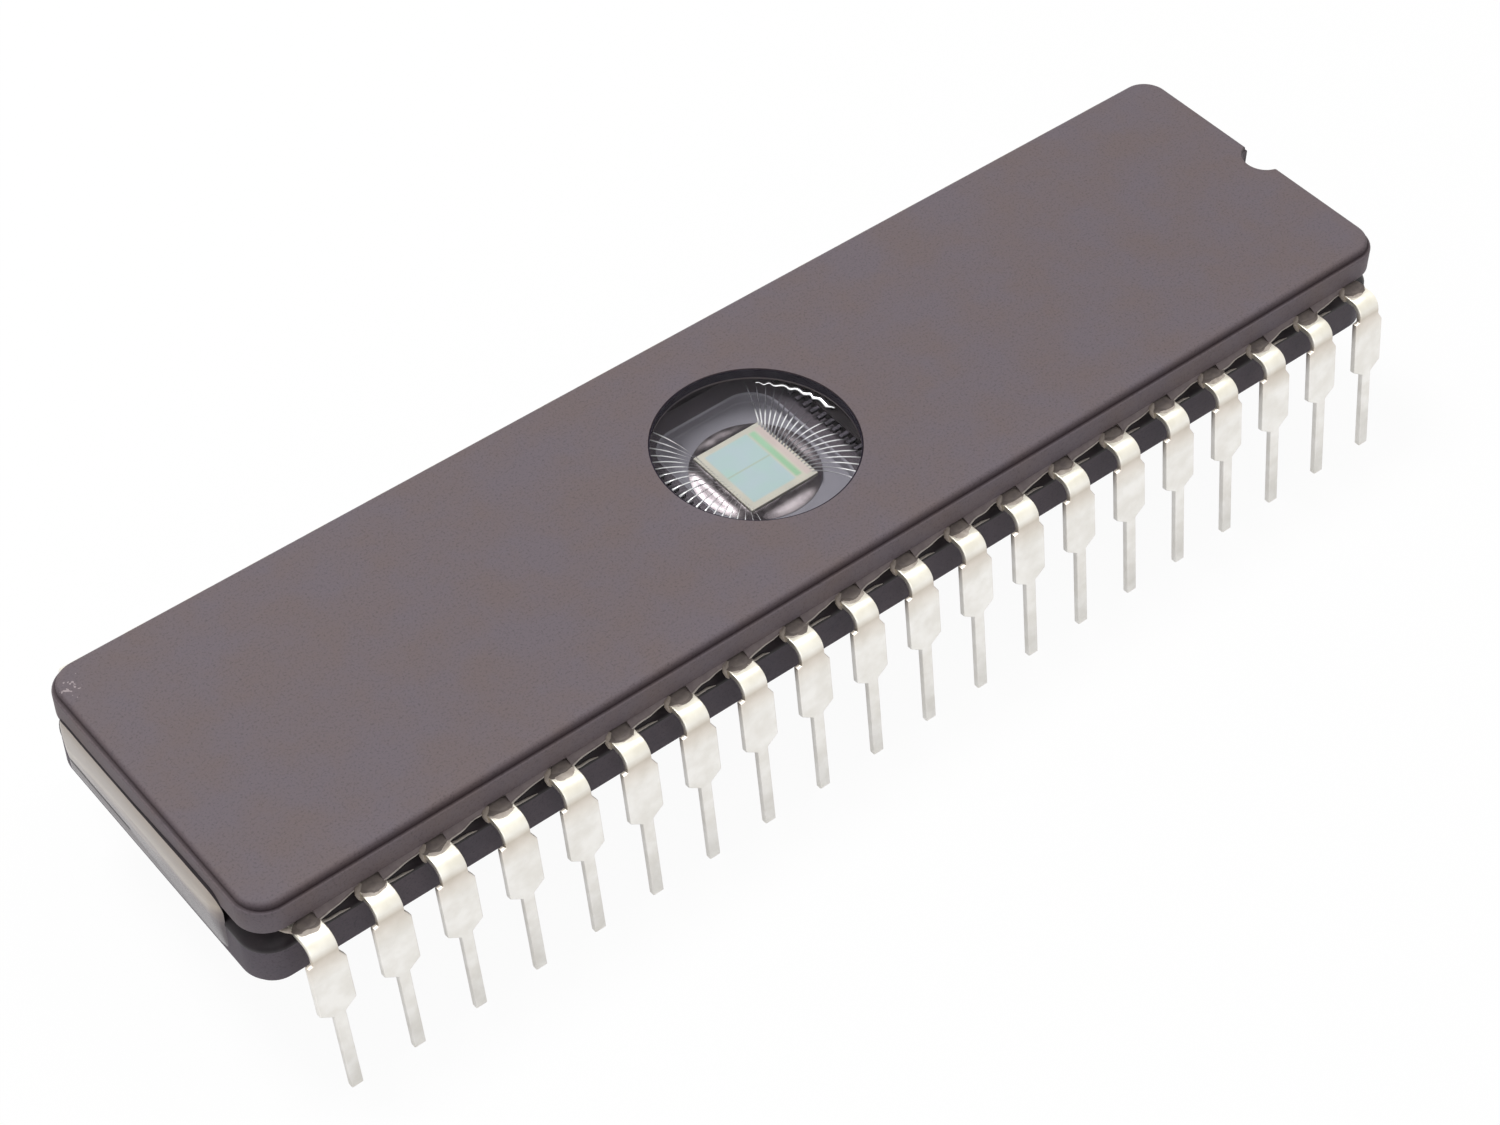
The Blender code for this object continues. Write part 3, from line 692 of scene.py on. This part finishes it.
def clear_glass(name):
    """Clear glass with little reflection of its own, which lets the lamps through to the die."""
    material, tree, shader = start_material(name, {
        "Base Color": colour("#fbfcfc"), "Roughness": 0.0, "IOR": 1.47, "Specular Tint": colour("#101010"),
        "Transmission Weight": 1.0})
    open_pane = add_node(tree, "ShaderNodeBsdfTransparent")
    path = add_node(tree, "ShaderNodeLightPath")
    unseen = add_node(tree, "ShaderNodeMath", {
        0: path.outputs["Is Shadow Ray"], 1: path.outputs["Is Diffuse Ray"]}, operation="MAXIMUM")
    unseen = add_node(tree, "ShaderNodeMath", {
        0: unseen.outputs[0], 1: path.outputs["Is Glossy Ray"]}, operation="MAXIMUM")
    mixed = add_node(tree, "ShaderNodeMixShader", {
        0: unseen.outputs[0], 1: shader.outputs[0], 2: open_pane.outputs[0]})
    tree.links.new(mixed.outputs[0], tree.nodes["Material Output"].inputs["Surface"])
    return material


def bonding_frit(name, dark, light, settings):
    """Fired solder glass that bonds the window to the ceramic, with soft swirls."""
    material, tree, shader = start_material(name, settings)
    place = add_node(tree, "ShaderNodeTexCoord").outputs["Object"]
    swirl = add_node(tree, "ShaderNodeTexNoise", {"Vector": place, "Scale": 1 / (0.6 * MM), "Detail": 3.0})
    tint = add_node(tree, "ShaderNodeValToRGB", {"Fac": swirl.outputs["Fac"]},
                    stops=((0.35, dark), (0.65, light)))
    tree.links.new(tint.outputs["Color"], shader.inputs["Base Color"])
    return material


def bridge_rings(bm, rings, sides):
    """Bridge rings into a tube with closed ends: each has a centre, two axes and two half sizes."""
    before = None
    for place, (centre, across, up, half_width, half_height) in enumerate(rings):
        turn = Matrix((across, up, across.cross(up))).transposed().to_4x4()
        size = Matrix.Diagonal((half_width, half_height, 1.0, 1.0))
        ring = bmesh.ops.create_circle(bm, segments=sides, radius=1.0,
                                       matrix=Matrix.Translation(centre) @ turn @ size)["verts"]
        loop = list({edge for vert in ring for edge in vert.link_edges
                     if edge.other_vert(vert) in ring})
        if before:
            bmesh.ops.bridge_loops(bm, edges=before + loop)
        if place in (0, len(rings) - 1):
            bmesh.ops.contextual_create(bm, geom=loop)
        before = loop


bm = bmesh.new()
bmesh.ops.create_cone(bm, cap_ends=True, segments=128, radius1=window_high.x, radius2=window_high.x,
                      depth=window_high.z - window_low.z)
bmesh.ops.translate(bm, vec=(window_low + window_high) / 2, verts=bm.verts)
for face_z, offset, segments in ((window_high.z, TOP_BREAK, 3), (window_low.z, BOTTOM_ROUND, 8)):
    rim = [edge for edge in bm.edges if all(abs(vert.co.z - face_z) < NEAR for vert in edge.verts)]
    bmesh.ops.bevel(bm, geom=rim, offset=offset, segments=segments, profile=0.5, affect="EDGES", material=-1)
for vert in bm.verts:
    if vert.co.z < window_low.z + BOTTOM_ROUND * 1.01 and vert.co.xy.length > window_high.x * 0.8:
        wave = noise.noise(vert.co.normalized() * 5.0)
        sink = (window_low.z + BOTTOM_ROUND - vert.co.z) / BOTTOM_ROUND
        vert.co.xy *= 1 + RIM_WAVE * wave * sink
for face in bm.faces:
    centre = face.calc_center_median()
    side = centre.xy.length > window_high.x * 0.98 and centre.z > window_low.z + BOTTOM_ROUND
    face.material_index = int(side)
# Painted reflection: the frit is set paler than it is, for the pane's own reflection, which is turned down.
frit_painted_paler = bonding_frit("bonding_frit", "#312c36", "#3b3640", {
    "Roughness": 0.6, "IOR": 1.5, "Specular IOR Level": 0.0})
make_piece("glass_window", bm, (clear_glass("window_glass"), frit_painted_paler), "window_glass", "window")
# The bead glints white in the photograph, so its frit is pale and is given a metal's shine: a painted glint.
painted_glint_frit = bonding_frit("painted_glint_frit", "#f2f3f6", "#fdfdfe", {"Roughness": 0.12, "Metallic": 1.0})
rings = []
for step in range(BEAD_STEPS + 1):
    share = step / BEAD_STEPS
    angle = BEAD_START + BEAD_SWEEP * share
    swell = min(1.0, 0.3 + 8 * share) * (1 - 0.75 * share ** 2)
    wave = math.sin(BEAD_WAVES * angle + 2 * noise.noise(Vector((6 * angle, 0.4, 0.0))))
    outward = Vector((math.cos(angle), math.sin(angle), 0.0))
    centre = outward * (BEAD_RADIUS + BEAD_SWAY * wave)
    centre.z = window_low.z - BEAD_DROP + BEAD_DIP * wave
    rings.append((centre, outward, Vector((0.0, 0.0, 1.0)),
                  BEAD_HALF_WIDTH * swell, BEAD_HALF_HEIGHT * swell))
bm = bmesh.new()
bridge_rings(bm, rings, 20)
bead = make_piece("window_bead", bm, [painted_glint_frit], "seal_glass")
bead.visible_diffuse = False


# Bond wires
# Forty aluminium wires, each pressed flat at its ends by the bonding tool, from a lead's finger to a
# pad near the die's edge. They arch highest far out on one side and near the die on the other, and
# are drawn full, with a painted highlight, where they glare in the photograph, and thin and dull beyond
# that.
WIRE_RADIUS = 0.031 * MM  # about twice the real one, which is too fine to show
WIRE_STEPS = 18
WIRE_REST = 0.4 * WIRE_RADIUS
THIN_SHARE = 0.25
FOOT_SHARE = 1 / 9
FOOT_FLATTENING = 0.55
PAINTED_GLARE_REACH = 5 * MM
PAD_INSET = 0.13 * MM
BOND_INSET = 0.25 * MM
PAD_MARGIN = 0.18 * MM
PAD_PITCH = (2 * DIE_HALF.y - 2 * PAD_MARGIN) / (ROW_LEADS - 1)
RIGHT_HANDLES = ((0.22, 0.66), (0.72, 0.6))
LEFT_HANDLES = ((0.25, 0.4), (0.6, 0.62))


def aluminium(name, axes, stops):
    """Drawn aluminium wire, with a painted highlight: white or grey by its distance out from the middle."""
    material, tree, shader = start_material(name, {"Metallic": 0.5, "Roughness": 0.32})
    place = add_node(tree, "ShaderNodeTexCoord").outputs["Object"]
    flat = add_node(tree, "ShaderNodeVectorMath", {0: place, 1: axes}, operation="MULTIPLY")
    distance = add_node(tree, "ShaderNodeVectorMath", {0: flat.outputs[0]}, operation="LENGTH")
    share = add_node(tree, "ShaderNodeMath", {0: distance.outputs["Value"], 1: PAINTED_GLARE_REACH},
                     operation="DIVIDE")
    tint = add_node(tree, "ShaderNodeValToRGB", {"Fac": share.outputs[0]}, stops=stops)
    tree.links.new(tint.outputs["Color"], shader.inputs["Base Color"])
    return material


def draw_wire(bm, start, end, handles, glare):
    """A round wire between two points, bent by its handles, flat at its ends and full in its glare."""
    along = end - start
    pulled = [start + along * share + Vector((0.0, 0.0, rise * MM)) for share, rise in handles]
    corners = [start, *pulled, end]
    across = Vector((-along.y, along.x, 0.0)).normalized()
    rings = []
    for step in range(WIRE_STEPS + 1):
        share = step / WIRE_STEPS
        press = max(0.0, 1 - min(share, 1 - share) / FOOT_SHARE)
        rest = 1 - share
        weights = (rest ** 3, 3 * share * rest ** 2, 3 * share ** 2 * rest, share ** 3)
        pulls = (rest ** 2, 2 * share * rest, share ** 2)
        centre = sum((corner * weight for corner, weight in zip(corners, weights)), Vector())
        slope = sum(((after - corner) * pull
                     for corner, after, pull in zip(corners, corners[1:], pulls)), Vector()).normalized()
        up = across.cross(slope)
        if up.z < 0:
            up = -up
        full = min(max(1.5 - 8 * max(glare[0] - share, share - glare[1]), 0.0), 1.0)
        radius = WIRE_RADIUS * (THIN_SHARE + (1 - THIN_SHARE) * full)
        rings.append((centre, across, up, radius * (1 + press), radius * (1 - FOOT_FLATTENING * press)))
    bridge_rings(bm, rings, 8)


# Each quarter's ramp paints its highlight: white over the stretch that glares, grey elsewhere.
for name, side_x, side_y, handles, glare, axes, stops in (
    ("bond_wires_1", 1, 1, RIGHT_HANDLES, (0.1, 0.5), (1.0, 0.9, 0.0),
     ((0.36, "#a8a6ac"), (0.4, "#fcfcfd"), (0.46, "#fcfcfd"), (0.5, "#5c5a60"))),
    ("bond_wires_2", -1, 1, LEFT_HANDLES, (0.6, 1.0), (1.0, 1.0, 0.0),
     ((0.5, "#a4a2a8"), (0.54, "#fcfcfd"))),
    ("bond_wires_3", -1, -1, LEFT_HANDLES, (0.65, 1.0), (1.0, 1.0, 0.0),
     ((0.3, "#98949a"), (0.36, "#c8c0c4"), (0.53, "#c8c0c4"), (0.57, "#f4f4f5"))),
    ("bond_wires_4", 1, -1, RIGHT_HANDLES, (0.15, 0.7), (1.0, 0.0, 0.0),
     ((0.39, "#a8a6ac"), (0.42, "#fcfcfd"), (0.56, "#fcfcfd"), (0.62, "#5c5a60"))),
):
    bm = bmesh.new()
    for index in range(ROW_LEADS // 2):
        tip, outward = finger_end(index)
        foot = tip + outward * BOND_INSET
        pad = Vector((DIE_HALF.x - PAD_INSET, (index + 0.5) * PAD_PITCH))
        start = Vector((pad.x * side_x, pad.y * side_y, die_high.z + WIRE_REST))
        end = Vector((foot.x * side_x, foot.y * side_y, LEAD_TOP + WIRE_REST))
        sway = 0.06 * noise.noise(Vector((index * 2.3, side_y * 1.5, side_x * 0.7)))
        draw_wire(bm, start, end, [(share + sway, rise + sway / 2) for share, rise in handles], glare)
    wires = make_piece(name, bm, [aluminium(f"painted_glare_aluminium_{name}", axes, stops)], "tin_plate")
    wires.visible_shadow = False
    wires.visible_glossy = False
    wires.visible_diffuse = False


# Seal
# Solder glass that held the two slabs and the leads together when it was melted. It stands back
# under the cap in a hollow front and wets the base's top edge. Each level has its height and how
# far the glass stands back there, in millimetres.
SEAL_CUTS = 200
SEAL_ROOM = 0.4 * MM
SHORT_WAVE = 0.9 * MM
LONG_WAVE = 3.1 * MM
SEAL_LEVELS = ((6.94, 0.43), (6.86, 0.50), (6.74, 0.54), (6.6, 0.5), (6.46, 0.38), (6.34, 0.18),
               (6.22, 0.06), (6.1, -0.01), (5.98, -0.015), (5.86, 0.005))


def solder_glass(name, dark, light, grain, roughness, level=0.5, unevenness=0.4):
    """Fired solder glass: smooth and glossy, clouded where it has begun to crystallise."""
    material, tree, shader = start_material(name, {"Specular IOR Level": level})
    place = add_node(tree, "ShaderNodeTexCoord").outputs["Object"]
    cloud = add_node(tree, "ShaderNodeTexNoise", {
        "Vector": place, "Scale": 1 / grain, "Detail": 4.0, "Roughness": 0.6})
    tint = add_node(tree, "ShaderNodeValToRGB", {"Fac": cloud.outputs["Fac"]},
                    stops=((0.36, dark), (0.64, light)))
    tree.links.new(tint.outputs["Color"], shader.inputs["Base Color"])
    gloss = add_node(tree, "ShaderNodeMapRange", {
        "Value": cloud.outputs["Fac"], 3: roughness, 4: roughness + 0.15})
    tree.links.new(gloss.outputs[0], shader.inputs["Roughness"])
    bump = add_node(tree, "ShaderNodeBump", {
        "Height": cloud.outputs["Fac"], "Strength": unevenness, "Distance": 0.03 * MM})
    tree.links.new(bump.outputs["Normal"], shader.inputs["Normal"])
    return material


top_z = SEAL_LEVELS[0][0] * MM
bottom_z = SEAL_LEVELS[-1][0] * MM
bm = round_block(HALF_LENGTH, HALF_WIDTH, bottom_z, top_z, segments=12)
long_edges = [edge for edge in bm.edges if abs(edge.verts[0].co.x - edge.verts[1].co.x) > HALF_LENGTH]
bmesh.ops.subdivide_edges(bm, edges=long_edges, cuts=SEAL_CUTS)
end_edges = [edge for edge in bm.edges if abs(edge.verts[0].co.y - edge.verts[1].co.y) > HALF_WIDTH
             and abs(edge.verts[0].co.x - edge.verts[1].co.x) < NEAR]
bmesh.ops.subdivide_edges(bm, edges=end_edges, cuts=SEAL_CUTS // 5)
for z, inset in SEAL_LEVELS[1:-1]:
    bmesh.ops.bisect_plane(bm, geom=bm.verts[:] + bm.edges[:] + bm.faces[:], dist=NEAR,
                           plane_co=(0.0, 0.0, z * MM), plane_no=(0.0, 0.0, 1.0))
insets = {round(z * 100): inset * MM for z, inset in SEAL_LEVELS}
for vert in bm.verts:
    inset = insets[round(vert.co.z / MM * 100)]
    wave = noise.noise(vert.co / SHORT_WAVE) * 0.22 + noise.noise(vert.co / LONG_WAVE) * 0.2
    inset *= 1 + wave
    vert.co.x *= (HALF_LENGTH - inset) / HALF_LENGTH
    vert.co.y *= (HALF_WIDTH - inset) / HALF_WIDTH
room = round_block(TIP_HALF_X + SEAL_ROOM, TIP_HALF_Y + SEAL_ROOM, bottom_z - MM, top_z + MM)
bm = exact_cut(bm, room)
dark_glass = solder_glass("dark_solder_glass", "#1d181c", "#2b2428", 0.8 * MM, 0.35, level=0.2)
make_piece("seal_ring", bm, [dark_glass], "seal_glass", "seal_glass")


# Glass on the leads
# Where each lead leaves the seal the glass has wetted it: a thin film with a darker rim lies on its
# root and ends in a pale tail, a drip hangs at its left, and at its right a web spans the gap from
# the cap's edge, over a low ridge. These forms are worked out in millimetres.
WEB_THICKNESS = 0.03 * MM
RIDGE_HALF = 0.032
RIDGE_TAPER = 0.0015


def beside(number, right, outward, up, *size):
    """A point right of a lead's root as seen from outside, outward and up, and then any sizes."""
    side = 1 if number <= ROW_LEADS else -1
    lead_x = side * (ROW_LEADS / 2 - 0.5 - (number - 1) % ROW_LEADS) * PITCH / MM
    return (lead_x - side * right, side * (HALF_WIDTH / MM + outward), LEAD_TOP / MM + up, *size)


def glass_run(bm, points):
    """A run of glass through points, each with its half width and half height."""
    centres = [Vector(point[:3]) * MM for point in points]
    across = None
    rings = []
    for place, point in enumerate(points):
        along = (centres[min(place + 1, len(points) - 1)] - centres[max(place - 1, 0)]).normalized()
        across = across or Vector((-along.y, along.x, 0.0))
        across = (across - along * across.dot(along)).normalized()
        rings.append((centres[place], across, along.cross(across), point[3] * MM, point[4] * MM))
    bridge_rings(bm, rings, 8)


def glass_drop(bm, centre, size, seed):
    """A drop of glass about a point: a rounded lump with an uneven outline."""
    drop = bmesh.ops.create_uvsphere(bm, u_segments=20, v_segments=10, radius=1.0)["verts"]
    for vert in drop:
        swell = 1 + 0.3 * noise.noise(vert.co * 1.4 + Vector((seed, 2.3 * seed, 0.0)))
        vert.co = Vector((centre[axis] + vert.co[axis] * size[axis] * (swell if axis < 2 else 1.0)
                          for axis in range(3))) * MM


films = bmesh.new()
film_rims = bmesh.new()
tails = bmesh.new()
drips = bmesh.new()
webs = bmesh.new()
highlight_ridges = bmesh.new()
for number in range(1, 2 * ROW_LEADS + 1):
    shake = [noise.noise(Vector((number * 1.7, item * 3.1, 0.5))) for item in range(8)]
    grow = 0.12 * shake[0]
    glass_drop(film_rims, beside(number, 0.02, 0.2, 0.0), (0.52, 0.38 + grow, 0.022), number)
    glass_drop(films, beside(number, 0.06, 0.16, 0.0), (0.47, 0.34 + grow, 0.03), number + 0.2)
    glass_drop(tails, beside(number, 0.0, 0.34 + 0.1 * shake[7], 0.0), (0.45, 0.3, 0.014), number + 0.6)
    fall = 0.1 * shake[1]
    # By the near row's first lead the glass ran out along the corner and left no drip.
    if number != ROW_LEADS + 1:
        glass_run(drips, [
            beside(number, -0.3, -0.02, 0.06, 0.08, 0.04),
            beside(number, -0.46, 0.1, 0.02, 0.12, 0.07),
            beside(number, -0.55, 0.22, -0.08 + fall / 2, 0.1, 0.09),
            beside(number, -0.54, 0.32, -0.2 + fall, 0.07, 0.08),
            beside(number, -0.5, 0.37, -0.3 + fall, 0.03, 0.03),
        ])
    if number in (ROW_LEADS, 2 * ROW_LEADS):
        continue
    skirt = bmesh.new()
    bmesh.ops.create_grid(skirt, x_segments=10, y_segments=4, size=0.5)
    edge_run = []
    for vert in skirt.verts:
        run = vert.co.x + 0.5
        down = 0.5 - vert.co.y
        reach = 0.34 - 0.27 * run ** 0.8 + 0.07 * noise.noise(Vector((number * 0.9, run * 3, 0.2)))
        hang = 0.14 - 0.16 * down ** 1.5 + 0.03 * shake[2] * down
        vert.co = Vector(beside(number, 0.42 + 1.75 * run, -0.03 + (reach + 0.03) * down, hang)) * MM
        if down > 0.99:
            edge_run.append((vert.co.x, vert.co.y, vert.co.z))
    bmesh.ops.solidify(skirt, geom=skirt.faces[:], thickness=WEB_THICKNESS)
    skirt_mesh = bpy.data.meshes.new("skirt")
    skirt.to_mesh(skirt_mesh)
    skirt.free()
    webs.from_mesh(skirt_mesh)
    bpy.data.meshes.remove(skirt_mesh)
    edge_run = sorted(set(edge_run), reverse=number <= ROW_LEADS)
    halves = [RIDGE_HALF - RIDGE_TAPER * step for step in range(len(edge_run))]
    glass_run(highlight_ridges, [(*(value / MM for value in point), half, half)
                       for point, half in zip(edge_run, halves)])
    reach = 1.7 + 0.25 * shake[5]
    glass_run(highlight_ridges, [
        beside(number, 0.46, 0.02, -0.5, 0.05, 0.05),
        beside(number, 0.62, 0.0, -0.66, 0.065, 0.06),
        beside(number, 0.95, 0.01, -0.73, 0.055, 0.05),
        beside(number, (0.95 + reach) / 2, 0.02, -0.72 + 0.06 * shake[6], 0.05, 0.04),
        beside(number, reach, 0.0, -0.82, 0.02, 0.02),
    ])
glass_run(tails, [
    (-HALF_LENGTH / MM + 0.98, -HALF_WIDTH / MM + 0.22, 6.8, 0.05, 0.03),
    (-HALF_LENGTH / MM + 1.14, -HALF_WIDTH / MM + 0.06, 6.78, 0.1, 0.07),
    (-HALF_LENGTH / MM + 1.3, -HALF_WIDTH / MM - 0.06, 6.74, 0.12, 0.08),
    (-HALF_LENGTH / MM + 1.5, -HALF_WIDTH / MM - 0.18, 6.74, 0.08, 0.05),
])
# The ridges are glass, and their pale colour is partly a painted highlight along the web's edge and the
# base's top edge.
for name, bm, glass, dark, light, cloud_width, roughness in (
    ("root_films", films, "clouded", "#6f6562", "#80766f", 0.3, 0.5),
    ("root_film_rims", film_rims, "olive", "#625954", "#736962", 0.2, 0.5),
    ("root_tails", tails, "beige", "#ab9f94", "#c6bbb0", 0.25, 0.35),
    ("root_drips", drips, "grey", "#857a72", "#a09488", 0.25, 0.3),
    ("root_webs", webs, "brown", "#6a5e5f", "#776b6b", 0.3, 0.45),
    ("root_ridges", highlight_ridges, "pale", "#a59c96", "#bdb4ab", 0.3, 0.25),
):
    fired = solder_glass(f"{glass}_solder_glass", dark, light, cloud_width * MM, roughness)
    make_piece(name, bm, [fired], "seal_glass")


# Run-out
# At each end the spare glass was squeezed out over the base's end: a smooth pale sheet that clings
# to the cap's lower edge and thickens to a rounded bead at one side. Its sizes are in millimetres.
SHEET_FAR = 5.42
SHEET_NEAR = -4.65
SHEET_TOP = 7.16
SHEET_BOTTOM = 5.1
SHEET_FOOT = 4.44
SHEET_SKIN = 0.025
SHEET_MOST = 0.22
STREAK_WIDTH = 0.5 * MM
BANDS_LOW = 4.6 * MM
BANDS_HIGH = 7.2 * MM


def run_out_glass(name, side):
    """Pale beige glass that turns grey and violet towards its foot, with long soft streaks."""
    material = solder_glass(name, "#a39588", "#b5a899", 1.2 * MM, 0.16, unevenness=0.0)
    tree = material.node_tree
    shader = tree.nodes["Principled BSDF"]
    place = add_node(tree, "ShaderNodeTexCoord").outputs["Object"]
    axes = add_node(tree, "ShaderNodeSeparateXYZ", {"Vector": place})
    lean = add_node(tree, "ShaderNodeMath", {0: axes.outputs["Y"], 1: side * -0.13, 2: axes.outputs["Z"]},
                    operation="MULTIPLY_ADD")
    streaks = add_node(tree, "ShaderNodeTexNoise", {
        "Vector": add_node(tree, "ShaderNodeVectorMath", {0: place, 1: (1.0, 0.12, 1.0)},
                           operation="MULTIPLY").outputs[0],
        "Scale": 1 / STREAK_WIDTH, "Detail": 1.0})
    wander = add_node(tree, "ShaderNodeMath", {0: streaks.outputs["Fac"], 1: 0.8 * MM, 2: lean.outputs[0]},
                      operation="MULTIPLY_ADD")
    height = add_node(tree, "ShaderNodeMapRange", {
        "Value": wander.outputs[0], 1: BANDS_LOW, 2: BANDS_HIGH, 3: 0.0, 4: 1.0})
    bands = add_node(tree, "ShaderNodeValToRGB", {"Fac": height.outputs[0]}, stops=(
        (0.1, "#564e53"), (0.38, "#5f565a"), (0.56, "#6f6567"), (0.7, "#988c85"), (0.8, "#b7ab9e"),
        (0.95, "#a89d94")))
    tree.links.new(bands.outputs["Color"], shader.inputs["Base Color"])
    return material


for name, side in (("run_out_plain_end", -1), ("run_out_notch_end", 1)):
    bm = bmesh.new()
    bmesh.ops.create_grid(bm, x_segments=120, y_segments=36, size=0.5)
    dark = set()
    for vert in bm.verts:
        along = vert.co.x + 0.5
        down = 0.5 - vert.co.y
        grow = min(max((along - 0.3) / 0.6, 0.0), 1.0)
        grow = grow * grow * (3 - 2 * grow)
        ripple = noise.noise(Vector((along * 7.0, 0.0, side * 3.0)))
        end_round = math.sqrt(max(0.0, 1 - max(0.0, (along - 0.93) / 0.07) ** 2))
        start_round = math.sqrt(max(0.0, 1 - max(0.0, (0.02 - along) / 0.02) ** 2))
        y = SHEET_FAR + (SHEET_NEAR - SHEET_FAR) * along
        top = SHEET_TOP + 0.24 * grow + 0.05 * ripple - 0.7 * (1 - end_round)
        bottom = SHEET_BOTTOM + 0.05 * ripple - 0.42 * grow
        foot = SHEET_FOOT + 0.6 * (1 - end_round)
        z = top + (foot - top) * down
        share = min(max((top - z) / (top - bottom), 0.0), 1.0)
        if down < 0.01 or (share == 1 and z > bottom - 0.08 and along < 0.4):
            dark.add(vert)
        bulge = max(0.0, math.sin(math.pi * share ** 0.6)) ** 0.75
        skin = SHEET_SKIN * min(1.0, 12 * down, 12 * (1 - down))
        thick = ((0.1 + 0.1 * grow) * bulge + skin) * end_round * start_round
        x = (HALF_LENGTH - FIT_GAP) / MM + min(thick, SHEET_MOST)
        vert.co = Vector((side * x, -side * y, z)) * MM
    # The upper edge and a crease below the thin half take the seal's dark glass as painted shade.
    for face in bm.faces:
        face.material_index = int(any(vert in dark for vert in face.verts))
    make_piece(name, bm, (run_out_glass(f"beige_solder_glass_{name}", side), dark_glass), "seal_glass")
